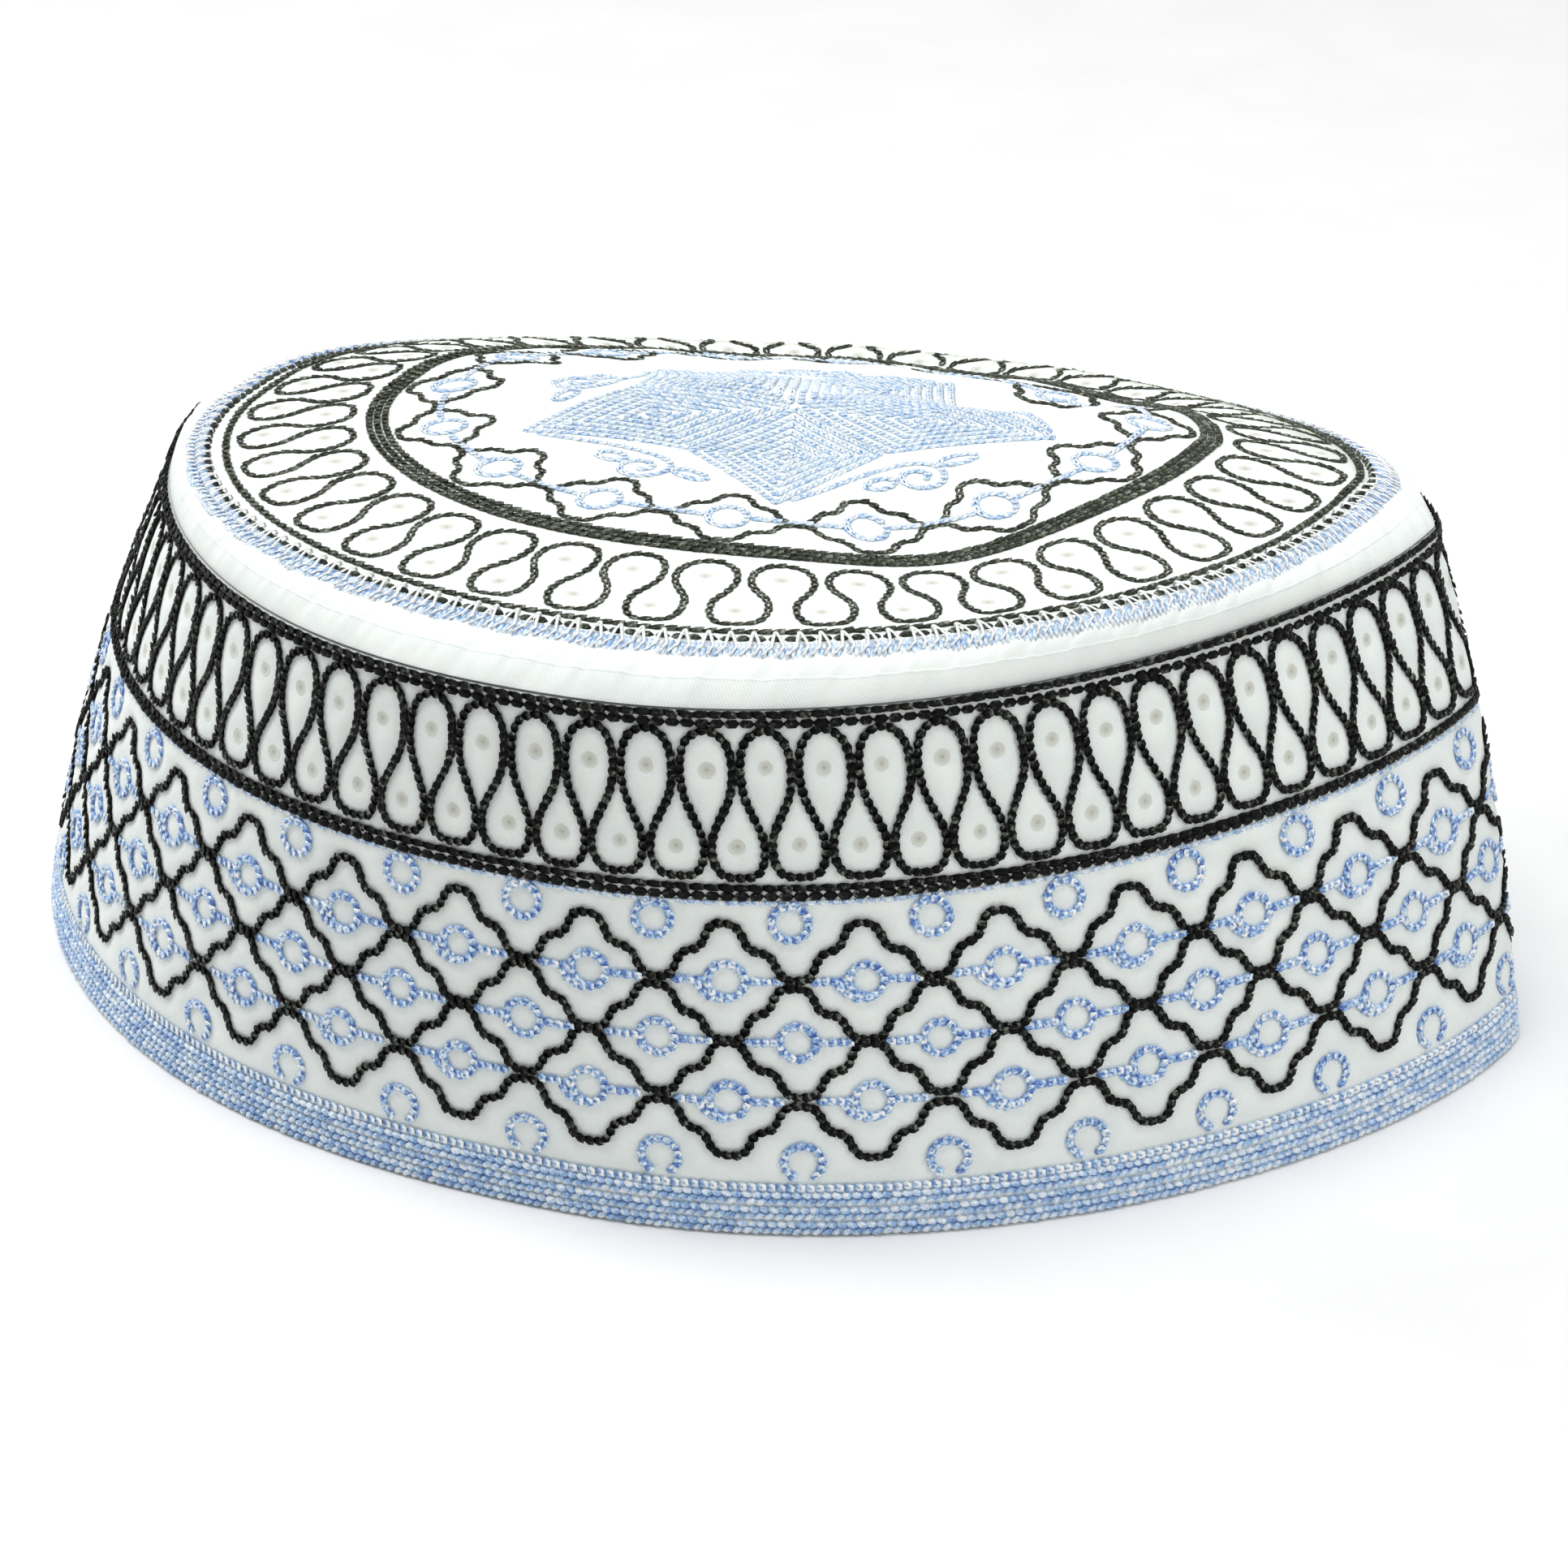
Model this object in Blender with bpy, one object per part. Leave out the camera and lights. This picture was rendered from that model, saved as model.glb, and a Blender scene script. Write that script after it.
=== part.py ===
"""Embroidered kufi: a padded crown on a flared side band with a fold at its right end.

Metres, +Z up. The rim lies flat on z = 0 and the origin is under the middle of the rim.
-Y is the front, and the fold is at +X. Every ring of the cap has the same stations: half of
them run along the front from the left end to the fold, and half along the back.
"""
import math

import bmesh
import bpy
from mathutils import Vector

# Driving dimensions
WALL_HEIGHT = 0.0733          # height that the side band's slope would reach at the crown
BAND_TOP = 0.915              # where the side band ends, as a share of the wall height
BAND_THICKNESS = 0.0022
CROWN_THICKNESS = 0.0024
CROWN_EDGE_THICKNESS = 0.0010
SHOULDER_THICKNESS = 0.0016
GAP = 0.0003                  # between pieces that touch
MIDDLE_SHIFT = 0.0032         # the deepest point of the front lies this far right of the middle

# Reach from the deepest point, by height: share of wall height, left, right, front, back
OUTLINE_ROWS = (
    (0.0, 0.1067, 0.0986, 0.0783, 0.0778),
    (0.5, 0.0953, 0.0923, 0.0768, 0.0745),
    (1.0, 0.0774, 0.0810, 0.0729, 0.0726),
)
# How far behind the middle the left and right ends lie, at the rim and at the full height
END_PLACES = ((-0.0019, 0.0004), (-0.0059, 0.0071))
# The crown's edge: left, right, front, back, and its ends' places
CROWN_REACH = (0.0750, 0.0768, 0.0674, 0.0684)
CROWN_END_PLACES = (-0.0111, 0.0102)
# Fullness of each quarter's side: front left, front right, back left, back right
FULLNESS = (2.29, 1.98, 2.36, 2.09)
# Bluntness of each quarter's end, on the side band and on the crown
BAND_BLUNTNESS = (0.615, 0.676, 0.437, 0.817)
CROWN_BLUNTNESS = (0.555, 0.485, 0.428, 0.695)

# Slump of the soft cap towards its back, and how much of it tilts to the right
BACK_DROP = 0.0159
BACK_DROP_RIGHT = -0.0017
BACK_DROP_POWER = 1.48

# Rise of the crown's edge above the side band at eight even places, from the front to the fold
EDGE_RISES = (0.0044, 0.0050, 0.0032, 0.0012, 0.0022, 0.0002, 0.0028, 0.0044)

# Crown surface
CROWN_MIDDLE_HEIGHT = 0.0732
CROWN_FALL_POWER = 0.88
CROWN_MIDDLE = (-0.0048, 0.0156)    # where the embroidery's centre sits from the deepest line
# Dents and swells: x, y, reach, height
CROWN_DENTS = (
    (0.000, 0.003, 0.018, -0.0027),
    (0.000, -0.030, 0.016, 0.0004),
    (0.042, 0.000, 0.018, 0.0005),
    (0.030, -0.027, 0.016, -0.0027),
    (-0.030, 0.022, 0.014, -0.0029),
    (-0.046, 0.000, 0.016, -0.0007),
    (0.034, 0.026, 0.014, 0.0010),
    (0.000, 0.024, 0.013, -0.0017),
    (0.022, 0.030, 0.012, -0.0048),
    (-0.014, 0.036, 0.012, -0.0011),
    (-0.024, 0.050, 0.012, -0.0007),
    (0.004, 0.052, 0.012, -0.0011),
    (0.030, 0.044, 0.012, -0.0005),
)
EDGE_ROLL = 0.0016            # height of the padded roll just inside the crown's edge at the back
EDGE_ROLL_START = 0.78        # share of the crown's reach where it begins

# Embroidery laid on the crown: radii as shares of the crown's reach
STAR_RADIUS = 0.488
STAR_TURN = 0.043             # of a full turn, from the front towards the fold
STAR_PLACE = (0.022, 0.067)   # towards the fold and towards the front, from the crown's middle
RING_CORD = (0.690, 0.732)
DOUBLE_CORD = (0.942, 0.973)
EDGE_BRAID = (0.978, 0.997)
CROWN_RADII = (0.07, 0.15, 0.23, 0.31, 0.39, 0.47, 0.55, 0.62) + RING_CORD + (
    0.80, 0.87) + DOUBLE_CORD + EDGE_BRAID + (1.0,)
UNDERSIDE_RADII = (0.12, 0.30, 0.48, 0.66, 0.85, 1.0)

# Embroidery laid on the side band: heights as shares of the wall height
UPPER_CORD = (0.875, 0.914)
LOWER_CORD = (0.594, 0.632)
RIM_BRAID = (0.004, 0.098)
RIM_BRAID_ROWS = 3
CORD_HEIGHT = 0.0010
BRAID_HEIGHT = 0.0011

STATIONS = 64
SAMPLES = 160                 # points on each half outline before it is divided evenly
BAND_ROWS = 7
SHOULDER_BULGE = 0.0013
SHOULDER_GATHER = 0.00025     # each gather stands this far in or out of the bulge
SHOULDER_STEPS = 4
STAR_POINTS = 5
STAR_CELLS = 6                # along each side of a rhombus
STAR_CLEARANCE = 0.0005
STAR_HEIGHT = 0.0009
SMOOTH_ANGLE = math.radians(40)

# Colours from the photograph
WHITE = (0.82, 0.83, 0.81)
BLACK = (0.025, 0.027, 0.026)
BLUE = (0.26, 0.42, 0.70)


def clear_scene():
    for item in list(bpy.data.objects):
        bpy.data.objects.remove(item, do_unlink=True)


def band_plan(share):
    """The side band's oval at a share of the wall height: reaches, end places, bluntness."""
    low, middle, high = OUTLINE_ROWS
    weights = (
        2 * (share - 0.5) * (share - 1),
        4 * share * (1 - share),
        2 * share * (share - 0.5),
    )
    reach = [sum(w * row[i] for w, row in zip(weights, (low, middle, high))) for i in range(1, 5)]
    ends = [a + (b - a) * share for a, b in zip(*END_PLACES)]
    return reach, ends, BAND_BLUNTNESS


def crown_plan():
    return CROWN_REACH, CROWN_END_PLACES, CROWN_BLUNTNESS


def quarter(reach, depth, end_place, fullness, bluntness, side):
    """Points from the deepest point of one side to one end of the oval."""
    points = []
    for i in range(SAMPLES + 1):
        along = math.sin(0.5 * math.pi * i / SAMPLES)
        across = max(0.0, 1.0 - along ** fullness) ** bluntness
        x = MIDDLE_SHIFT + side * reach * along
        points.append(Vector((x, end_place + (depth - end_place) * across)))
    return points


def divide(points, count):
    """Evenly spaced points along a line, and each one's distance from the start."""
    distances = [0.0]
    for a, b in zip(points, points[1:]):
        distances.append(distances[-1] + (b - a).length)
    result = []
    segment = 0
    for i in range(count + 1):
        wanted = distances[-1] * i / count
        while segment < len(points) - 2 and distances[segment + 1] < wanted:
            segment += 1
        span = distances[segment + 1] - distances[segment]
        part = 0.0 if span == 0 else (wanted - distances[segment]) / span
        result.append((points[segment].lerp(points[segment + 1], min(part, 1.0)), wanted))
    return result, distances[-1]


def ring(plan, stations=STATIONS):
    """Points round the oval and each one's share of the way round from the front's middle."""
    (left, right, front, back), (left_end, right_end), bluntness = plan
    quarters = []
    for i, (reach, depth, end, side) in enumerate((
            (left, -front, left_end, -1), (right, -front, right_end, 1),
            (left, back, left_end, -1), (right, back, right_end, 1))):
        quarters.append(quarter(reach, depth, end, FULLNESS[i], bluntness[i], side))
    front_left, front_right, back_left, back_right = quarters
    front_line = front_left[::-1] + front_right[1:]
    back_line = back_right[::-1] + back_left[1:]
    lead = divide(front_left, 1)[1]
    front_points, front_length = divide(front_line, stations // 2)
    back_points, back_length = divide(back_line, stations // 2)
    whole = front_length + back_length
    points = [(p, (d - lead) / whole) for p, d in front_points[:-1]]
    points += [(p, (front_length + d - lead) / whole) for p, d in back_points[:-1]]
    return points


def moved_out(points, distance):
    """The oval moved outward by a distance, with even spacing from every facet."""
    count = len(points)
    result = []
    for i, (point, share) in enumerate(points):
        before = point - points[i - 1][0]
        after = points[(i + 1) % count][0] - point
        first = Vector((before.y, -before.x)).normalized()
        second = Vector((after.y, -after.x)).normalized()
        middle = (first + second).normalized()
        result.append((point + middle * (distance / middle.dot(first)), share))
    return result


def wall_height(share):
    """Height of the side band's slope at a share of the way round: lower at the back."""
    backward = max(0.0, -math.cos(2 * math.pi * share))
    drop = BACK_DROP + BACK_DROP_RIGHT * math.sin(2 * math.pi * share)
    return WALL_HEIGHT - drop * backward ** BACK_DROP_POWER


def edge_rise(share):
    """Rise of the crown's edge above the side band, smooth through the table's places."""
    count = len(EDGE_RISES)
    place = share % 1.0 * count
    first = int(place)
    t = place - first
    a, b, c, d = (EDGE_RISES[(first + i) % count] for i in (-1, 0, 1, 2))
    return 0.5 * (2 * b + (c - a) * t + (2 * a - 5 * b + 4 * c - d) * t ** 2
                  + (3 * b - a - 3 * c + d) * t ** 3)


def edge_height(share):
    """Height of the crown's edge."""
    return BAND_TOP * wall_height(share) + GAP + edge_rise(share)


def crown_point(radius, edge, share):
    """Point of the crown's top at a radius share, towards a point of its edge."""
    inward = 1.0 - radius ** 2
    x = MIDDLE_SHIFT + (edge.x - MIDDLE_SHIFT) * radius + CROWN_MIDDLE[0] * inward
    y = edge.y * radius + CROWN_MIDDLE[1] * inward
    fall = (edge_height(share) - CROWN_MIDDLE_HEIGHT) * radius ** CROWN_FALL_POWER
    z = CROWN_MIDDLE_HEIGHT + fall
    for dent_x, dent_y, reach, height in CROWN_DENTS:
        distance = ((x - MIDDLE_SHIFT - dent_x) ** 2 + (y - dent_y) ** 2) / reach ** 2
        z += height * math.exp(-distance)
    backward = max(0.0, -math.cos(2 * math.pi * share))
    part = max(0.0, (radius - EDGE_ROLL_START) / (1.0 - EDGE_ROLL_START))
    z += EDGE_ROLL * backward * math.sin(math.pi * part)
    return Vector((x, y, z))


def material(name, colour, roughness):
    result = bpy.data.materials.new(name)
    result.use_nodes = True
    shader = result.node_tree.nodes["Principled BSDF"]
    shader.inputs["Base Color"].default_value = (*colour, 1.0)
    shader.inputs["Roughness"].default_value = roughness
    shader.inputs["Metallic"].default_value = 0.0
    return result


def finish(name, mesh, colour, roughness):
    """One named object from a bmesh, closed and shaded smooth."""
    bmesh.ops.recalc_face_normals(mesh, faces=mesh.faces)
    data = bpy.data.meshes.new(name)
    mesh.to_mesh(data)
    mesh.free()
    data.shade_smooth()
    data.set_sharp_from_angle(angle=SMOOTH_ANGLE)
    item = bpy.data.objects.new(name, data)
    bpy.context.scene.collection.objects.link(item)
    data.materials.append(material(name, colour, roughness))
    return item


def closed_ring(sections):
    """A solid ring through cross-sections that have the same number of points."""
    mesh = bmesh.new()
    loops = [[mesh.verts.new(p) for p in section] for section in sections]
    for i, section in enumerate(loops):
        following = loops[(i + 1) % len(loops)]
        for j, vert in enumerate(section):
            k = (j + 1) % len(section)
            mesh.faces.new((vert, following[j], following[k], section[k]))
    return mesh


def band_row(share_of_height, outward):
    """One ring of points on the side band, moved outward from its face."""
    points = moved_out(ring(band_plan(share_of_height)), outward)
    return [Vector((p.x, p.y, share_of_height * wall_height(s))) for p, s in points]


def ring_from_rows(rows):
    return closed_ring(list(zip(*rows)))


def make_side_band():
    heights = [BAND_TOP * i / (BAND_ROWS - 1) for i in range(BAND_ROWS)]
    outer = [band_row(h, 0.0) for h in heights]
    inner = [band_row(h, -BAND_THICKNESS) for h in reversed(heights)]
    finish("side_band", ring_from_rows(outer + inner), WHITE, 0.85)


def make_band_cord(name, heights):
    """A bundle of chain rows round the side band."""
    low, high = heights
    rows = []
    for part, outward in ((0, 0), (0.15, 0.8), (0.5, 1), (0.85, 0.8), (1, 0)):
        rows.append(band_row(low + (high - low) * part, GAP + CORD_HEIGHT * outward))
    finish(name, ring_from_rows(rows), BLACK, 0.5)


def make_rim_braid():
    """Blue chain rows that cover the rim, as ridges side by side."""
    low, high = RIM_BRAID
    rows = [band_row(low, GAP)]
    for i in range(RIM_BRAID_ROWS):
        for part, outward in ((0.14, 0.75), (0.5, 1.0), (0.86, 0.75)):
            height = low + (high - low) * (i + part) / RIM_BRAID_ROWS
            rows.append(band_row(height, GAP + BRAID_HEIGHT * outward))
    rows.append(band_row(high, GAP))
    finish("rim_braid", ring_from_rows(rows), BLUE, 0.4)


def make_shoulder():
    """The gathered strip that rolls over from the side band to the crown's edge."""
    stations = 2 * STATIONS
    feet = ring(band_plan(BAND_TOP), stations)
    heads = ring(crown_plan(), stations)
    inner_feet = moved_out(feet, -BAND_THICKNESS - GAP)
    sections = []
    for i, ((foot, share), (head, _)) in enumerate(zip(feet, heads)):
        inward = Vector((head.x - foot.x, head.y - foot.y, 0.0))
        base = Vector((foot.x, foot.y, BAND_TOP * wall_height(share) + GAP))
        top = Vector((head.x, head.y, edge_height(share)))
        slope = top - base
        level = inward.normalized()
        outward = Vector((0, 0, 1)) * slope.dot(level) - level * slope.z
        outward.normalize()
        bulge = SHOULDER_BULGE + SHOULDER_GATHER * (1 if i % 2 else -1)
        section = []
        for step in range(SHOULDER_STEPS + 1):
            part = step / SHOULDER_STEPS
            section.append(base + slope * part + outward * (bulge * math.sin(math.pi * part)))
        section.append(top - Vector((0, 0, SHOULDER_THICKNESS)))
        inner = inner_feet[i][0]
        section.append(Vector((inner.x, inner.y, base.z)))
        sections.append(section)
    finish("shoulder_band", closed_ring(sections), WHITE, 0.85)


def crown_edge():
    return moved_out(ring(crown_plan()), -GAP)


def make_crown():
    edge = crown_edge()
    mesh = bmesh.new()

    def disc(radii, middle_drop, edge_drop):
        centre = mesh.verts.new(crown_point(0.0, edge[0][0], 0.0) - Vector((0, 0, middle_drop)))
        rings = []
        for radius in radii:
            lowered = Vector((0, 0, edge_drop if radius == 1.0 else middle_drop))
            rings.append([mesh.verts.new(crown_point(radius, p, s) - lowered) for p, s in edge])
        for i in range(STATIONS):
            k = (i + 1) % STATIONS
            mesh.faces.new((centre, rings[0][i], rings[0][k]))
            for inner, outer in zip(rings, rings[1:]):
                mesh.faces.new((inner[i], outer[i], outer[k], inner[k]))
        return rings[-1]

    upper = disc(CROWN_RADII, 0.0, 0.0)
    lower = disc(UNDERSIDE_RADII, CROWN_THICKNESS, CROWN_EDGE_THICKNESS)
    for i in range(STATIONS):
        k = (i + 1) % STATIONS
        mesh.faces.new((upper[i], upper[k], lower[k], lower[i]))
    finish("crown", mesh, WHITE, 0.85)


def make_crown_cord(name, radii, height, colour):
    """A bundle of chain rows that follows the crown's surface round its centre."""
    inner, outer = radii
    rows = []
    for part, raised in ((0, 0), (0.15, 0.8), (0.5, 1), (0.85, 0.8), (1, 0)):
        row = []
        for point, share in crown_edge():
            near = crown_point(inner, point, share)
            far = crown_point(outer, point, share)
            lift = Vector((0, 0, GAP * 1.1 + height * raised))
            row.append(near.lerp(far, part) + lift)
        rows.append(row)
    finish(name, ring_from_rows(rows), colour, 0.5)


def edge_towards(edge, share):
    """The crown's edge at any share of the way round, between its stations."""
    wanted = share % 1.0
    laps = [(s % 1.0, p) for p, s in edge]
    laps.sort(key=lambda lap: lap[0])
    laps = [(laps[-1][0] - 1.0, laps[-1][1])] + laps + [(laps[0][0] + 1.0, laps[0][1])]
    for (first, a), (second, b) in zip(laps, laps[1:]):
        if first <= wanted <= second:
            return a.lerp(b, (wanted - first) / (second - first))
    return laps[0][1]


def make_star():
    """Five rhombi that meet at the crown's centre, as one low padded solid."""
    edge = crown_edge()
    corner = STAR_RADIUS / (2 * math.cos(math.pi / STAR_POINTS))
    mesh = bmesh.new()
    known = {}

    def flat_place(point, i, j):
        """Place in the flat pattern: x towards the fold, y towards the front."""
        place = Vector(STAR_PLACE)
        for cells, side in ((i, -0.5), (j, 0.5)):
            turn = 2 * math.pi * (STAR_TURN + (point + side) / STAR_POINTS)
            place += Vector((math.sin(turn), math.cos(turn))) * (corner * cells / STAR_CELLS)
        return place

    def vert(point, i, j, top):
        if j == 0:
            point, i, j = (point - 1) % STAR_POINTS, 0, i
        if i == 0 and j == 0:
            point = 0
        key = (point, i, j, top)
        if key not in known:
            place = flat_place(point, i, j)
            share = math.atan2(place.x, place.y) / (2 * math.pi)
            on_crown = crown_point(place.length, edge_towards(edge, share), share)
            lift = STAR_CLEARANCE + (STAR_HEIGHT if top else 0.0)
            known[key] = mesh.verts.new(on_crown + Vector((0, 0, lift)))
        return known[key]

    cells = range(STAR_CELLS)
    for point in range(STAR_POINTS):
        for top in (True, False):
            for i in cells:
                for j in cells:
                    corners = ((i, j), (i + 1, j), (i + 1, j + 1), (i, j + 1))
                    mesh.faces.new([vert(point, a, b, top) for a, b in corners])
        for i in cells:
            for start, end in (((STAR_CELLS, i), (STAR_CELLS, i + 1)), ((i, STAR_CELLS), (i + 1, STAR_CELLS))):
                mesh.faces.new((vert(point, *start, True), vert(point, *end, True),
                                vert(point, *end, False), vert(point, *start, False)))
    finish("crown_star", mesh, BLUE, 0.45)


def main():
    clear_scene()
    make_side_band()
    make_shoulder()
    make_crown()
    make_star()
    make_crown_cord("crown_ring_cord", RING_CORD, CORD_HEIGHT, BLACK)
    make_crown_cord("crown_double_cord", DOUBLE_CORD, CORD_HEIGHT, BLACK)
    make_crown_cord("crown_edge_braid", EDGE_BRAID, BRAID_HEIGHT, BLUE)
    make_band_cord("upper_cord", UPPER_CORD)
    make_band_cord("lower_cord", LOWER_CORD)
    make_rim_braid()


main()
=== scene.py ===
import math

import bpy
import numpy as np
from mathutils import Matrix, Vector
from mathutils.kdtree import KDTree


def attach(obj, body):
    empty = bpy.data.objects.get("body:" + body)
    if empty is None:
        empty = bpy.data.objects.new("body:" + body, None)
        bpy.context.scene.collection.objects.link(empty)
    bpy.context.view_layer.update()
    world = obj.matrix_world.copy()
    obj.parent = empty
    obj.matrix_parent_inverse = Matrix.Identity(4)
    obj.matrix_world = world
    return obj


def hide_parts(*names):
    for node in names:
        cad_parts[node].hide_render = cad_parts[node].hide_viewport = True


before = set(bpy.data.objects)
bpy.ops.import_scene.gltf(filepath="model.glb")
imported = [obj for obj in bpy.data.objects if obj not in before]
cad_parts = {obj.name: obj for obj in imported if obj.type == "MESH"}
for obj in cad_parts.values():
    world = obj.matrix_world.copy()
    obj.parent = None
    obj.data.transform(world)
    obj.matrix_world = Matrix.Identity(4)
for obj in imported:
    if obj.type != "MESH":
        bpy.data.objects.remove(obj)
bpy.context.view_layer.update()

SEED = 4107
MM = 0.001

# Camera: where it stands from its target, and where the target falls in the picture
CAMERA_TARGET = (0.0032, 0.0, 0.03464)
CAMERA_TURN = 0.364            # from the front towards the fold, in radians
CAMERA_RISE = 0.448
CAMERA_DISTANCE = 0.6006
CAMERA_ROLL = -0.015
FOCAL_PIXELS = 5597.0
PICTURE_PIXELS = 1932
TARGET_PIXEL = (976.2, 850.6)
SENSOR = 36.0

# The cap's form, as in the part's source
WALL_HEIGHT = 0.0733
BAND_TOP = 0.915
BAND_THICKNESS = 0.0022
CROWN_THICKNESS = 0.0024
CROWN_EDGE_THICKNESS = 0.0010
SHOULDER_THICKNESS = 0.0016
GAP = 0.0003
MIDDLE_SHIFT = 0.0032
OUTLINE_ROWS = (               # share of wall height, left, right, front, back
    (0.0, 0.1067, 0.0986, 0.0783, 0.0778),
    (0.5, 0.0953, 0.0923, 0.0768, 0.0745),
    (1.0, 0.0774, 0.0810, 0.0729, 0.0726),
)
END_PLACES = ((-0.0019, 0.0004), (-0.0059, 0.0071))    # left and right, at the rim and the top
CROWN_REACH = (0.0750, 0.0768, 0.0674, 0.0684)
CROWN_END_PLACES = (-0.0111, 0.0102)
FULLNESS = (2.29, 1.98, 2.36, 2.09)    # front left, front right, back left, back right
BAND_BLUNTNESS = (0.615, 0.676, 0.437, 0.817)
CROWN_BLUNTNESS = (0.555, 0.485, 0.428, 0.695)
BACK_DROP = 0.0159
BACK_DROP_RIGHT = -0.0017
BACK_DROP_POWER = 1.48
EDGE_RISES = (0.0044, 0.0050, 0.0032, 0.0012, 0.0022, 0.0002, 0.0028, 0.0044)
CROWN_MIDDLE_HEIGHT = 0.0732
CROWN_FALL_POWER = 0.88
CROWN_MIDDLE = (-0.0048, 0.0156)
CROWN_DENTS = (                # x, y, reach, height
    (0.000, 0.003, 0.018, -0.0027),
    (0.000, -0.030, 0.016, 0.0004),
    (0.042, 0.000, 0.018, 0.0005),
    (0.030, -0.027, 0.016, -0.0027),
    (-0.030, 0.022, 0.014, -0.0029),
    (-0.046, 0.000, 0.016, -0.0007),
    (0.034, 0.026, 0.014, 0.0010),
    (0.000, 0.024, 0.013, -0.0017),
    (0.022, 0.030, 0.012, -0.0048),
    (-0.014, 0.036, 0.012, -0.0011),
    (-0.024, 0.050, 0.012, -0.0007),
    (0.004, 0.052, 0.012, -0.0011),
    (0.030, 0.044, 0.012, -0.0005),
)
EDGE_ROLL = 0.0016
EDGE_ROLL_START = 0.78
SHOULDER_BULGE = 0.0013

# Embroidery on the side band: ways round are shares from the front's middle towards the fold,
# and heights are shares of the wall height
LOOPS = 72
LOOP_PHASE = 0.0412
LOOP_STRAND = (                # offset from an upper loop's middle in loops, height
    (0.00, 0.883), (0.18, 0.880), (0.33, 0.869), (0.415, 0.848), (0.44, 0.821),
    (0.425, 0.793), (0.365, 0.769), (0.25, 0.746), (0.125, 0.720), (0.07, 0.701),
    (0.06, 0.682), (0.095, 0.663), (0.20, 0.648), (0.35, 0.643), (0.50, 0.641),
)
BAND_EYELETS = ((0.5, 0.823), (0.0, 0.693))    # place in loops, height
COLUMNS = 32
COLUMN_PHASE = 0.0525
NET_LINES = (                  # height of the middle, swing to each side, where it peaks
    (0.513, 0.0495, 0.5),
    (0.4055, 0.0465, 0.0),
    (0.305, 0.0485, 0.5),
    (0.194, 0.0475, 0.0),
)
NET_SLOPE = (                  # share of the way from a peak to a trough, share of the fall
    (0.00, 0.00), (0.16, 0.03), (0.26, 0.17), (0.33, 0.36), (0.41, 0.46), (0.50, 0.50),
    (0.59, 0.54), (0.67, 0.64), (0.74, 0.83), (0.84, 0.97), (1.00, 1.00),
)
NET_ROWS = (                   # height of the diamonds' middles, their place in a column
    (0.461, 0.5), (0.3555, 0.0), (0.2486, 0.5))
TOP_RINGS = 0.5638
BOTTOM_RINGS = 0.1375
RING_RADIUS = 0.00215
ARCH_RADIUS = 0.002279
ARCH_FOOT = 1.15               # how far the lowest rings' open ends turn under, in radians
LEAF_REACH = 0.0014
LEAF_TURN = 0.58
LEAF_POWER = 1.3
LEAFLESS_ROW = 1                # the net's middle row of rings has no leaves
DASH_START = 0.0003             # from a ring's side, and from the net's corner
DASH_GAP = 0.0017
UPPER_CORD_ROW = 0.9120         # the next rows lie below it by the gaps, at eight even places round
UPPER_CORD_GAPS = (0.0165, 0.0195, 0.0215, 0.0200, 0.0165, 0.0150, 0.0145, 0.0155)
UPPER_CORD_LIFT = 0.0004
LOWER_CORD_ROW = 0.6235
LOWER_CORD_GAPS = (0.0165, 0.0115, 0.0030, 0.0060, 0.0120, 0.0110, 0.0080, 0.0130)
THIN_BLUE_GAPS = (0.0100, 0.0115, 0.0120, 0.0110, 0.0100, 0.0080, 0.0060, 0.0075)
RIM_SMALL_ROW = 0.0915
RIM_WIDE_ROWS = (0.0700, 0.0420, 0.0150)
RIM_GRAINS = ((0.0060, -12.0), (-0.0060, 28.0))    # place beside a wide row's middle, slant in degrees

# Embroidery on the crown: radii are shares of the crown's reach
CROWN_LOOPS = 40
CROWN_LOOP_PHASE = 0.0131
CROWN_STRAND = (               # offset from an inner lobe's middle in loops, radius
    (0.00, 0.752), (0.16, 0.754), (0.30, 0.764), (0.385, 0.781), (0.41, 0.800),
    (0.37, 0.823), (0.27, 0.843), (0.18, 0.862), (0.15, 0.882), (0.165, 0.902),
    (0.24, 0.920), (0.36, 0.928), (0.50, 0.930),
)
CROWN_EYELETS = ((0.46, 0.797), (-0.04, 0.893))    # place in loops, radius
DOUBLE_CORD_ROW = 0.9500
DOUBLE_CORD_GAPS = (0.0205, 0.0195, 0.0195, 0.0200, 0.0200, 0.0220, 0.0280, 0.0290)
EDGE_BRAID_RADIUS = 0.990
EDGE_BRAID_FOOT = 0.945         # where the second blue row lies on the strip
RING_CORD_ROWS = (0.6965, 0.7095, 0.7225)
DIAMONDS = 16
DIAMOND_PHASE = 0.0548 - 3.5 / 16
DIAMOND_RADIUS = 0.605
DIAMOND_RING = 0.0025
DIAMOND_GAP = 0.0005            # between a blue ring and the thread that joins it to the next
DIAMOND_ARCH = 0.44             # half the width of the inner arch, in diamonds
DIAMOND_OUTER = (0.6465, 0.0320)
DIAMOND_INNER = (0.5650, 0.0395)
STAR_POINTS = 5
STAR_RADIUS = 0.488
STAR_TURN = 0.043
STAR_PLACE = (0.022, 0.067)     # towards the fold and the front, in the crown's reach
STAR_ROWS = 7
CROWN_SCALE = 0.0735           # metres in one share of the crown's reach, on average
CURL_LINE = (                  # millimetres across and outward from the star's middle
    (-18.2, 28.3), (-12.4, 27.5), (-6.2, 26.4), (-0.2, 26.3), (2.7, 28.0), (3.0, 30.6),
    (1.2, 32.8), (-1.4, 32.7), (-2.8, 30.8), (-2.0, 28.9), (0.0, 28.6), (1.0, 30.0), (0.0, 31.2),
)
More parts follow.
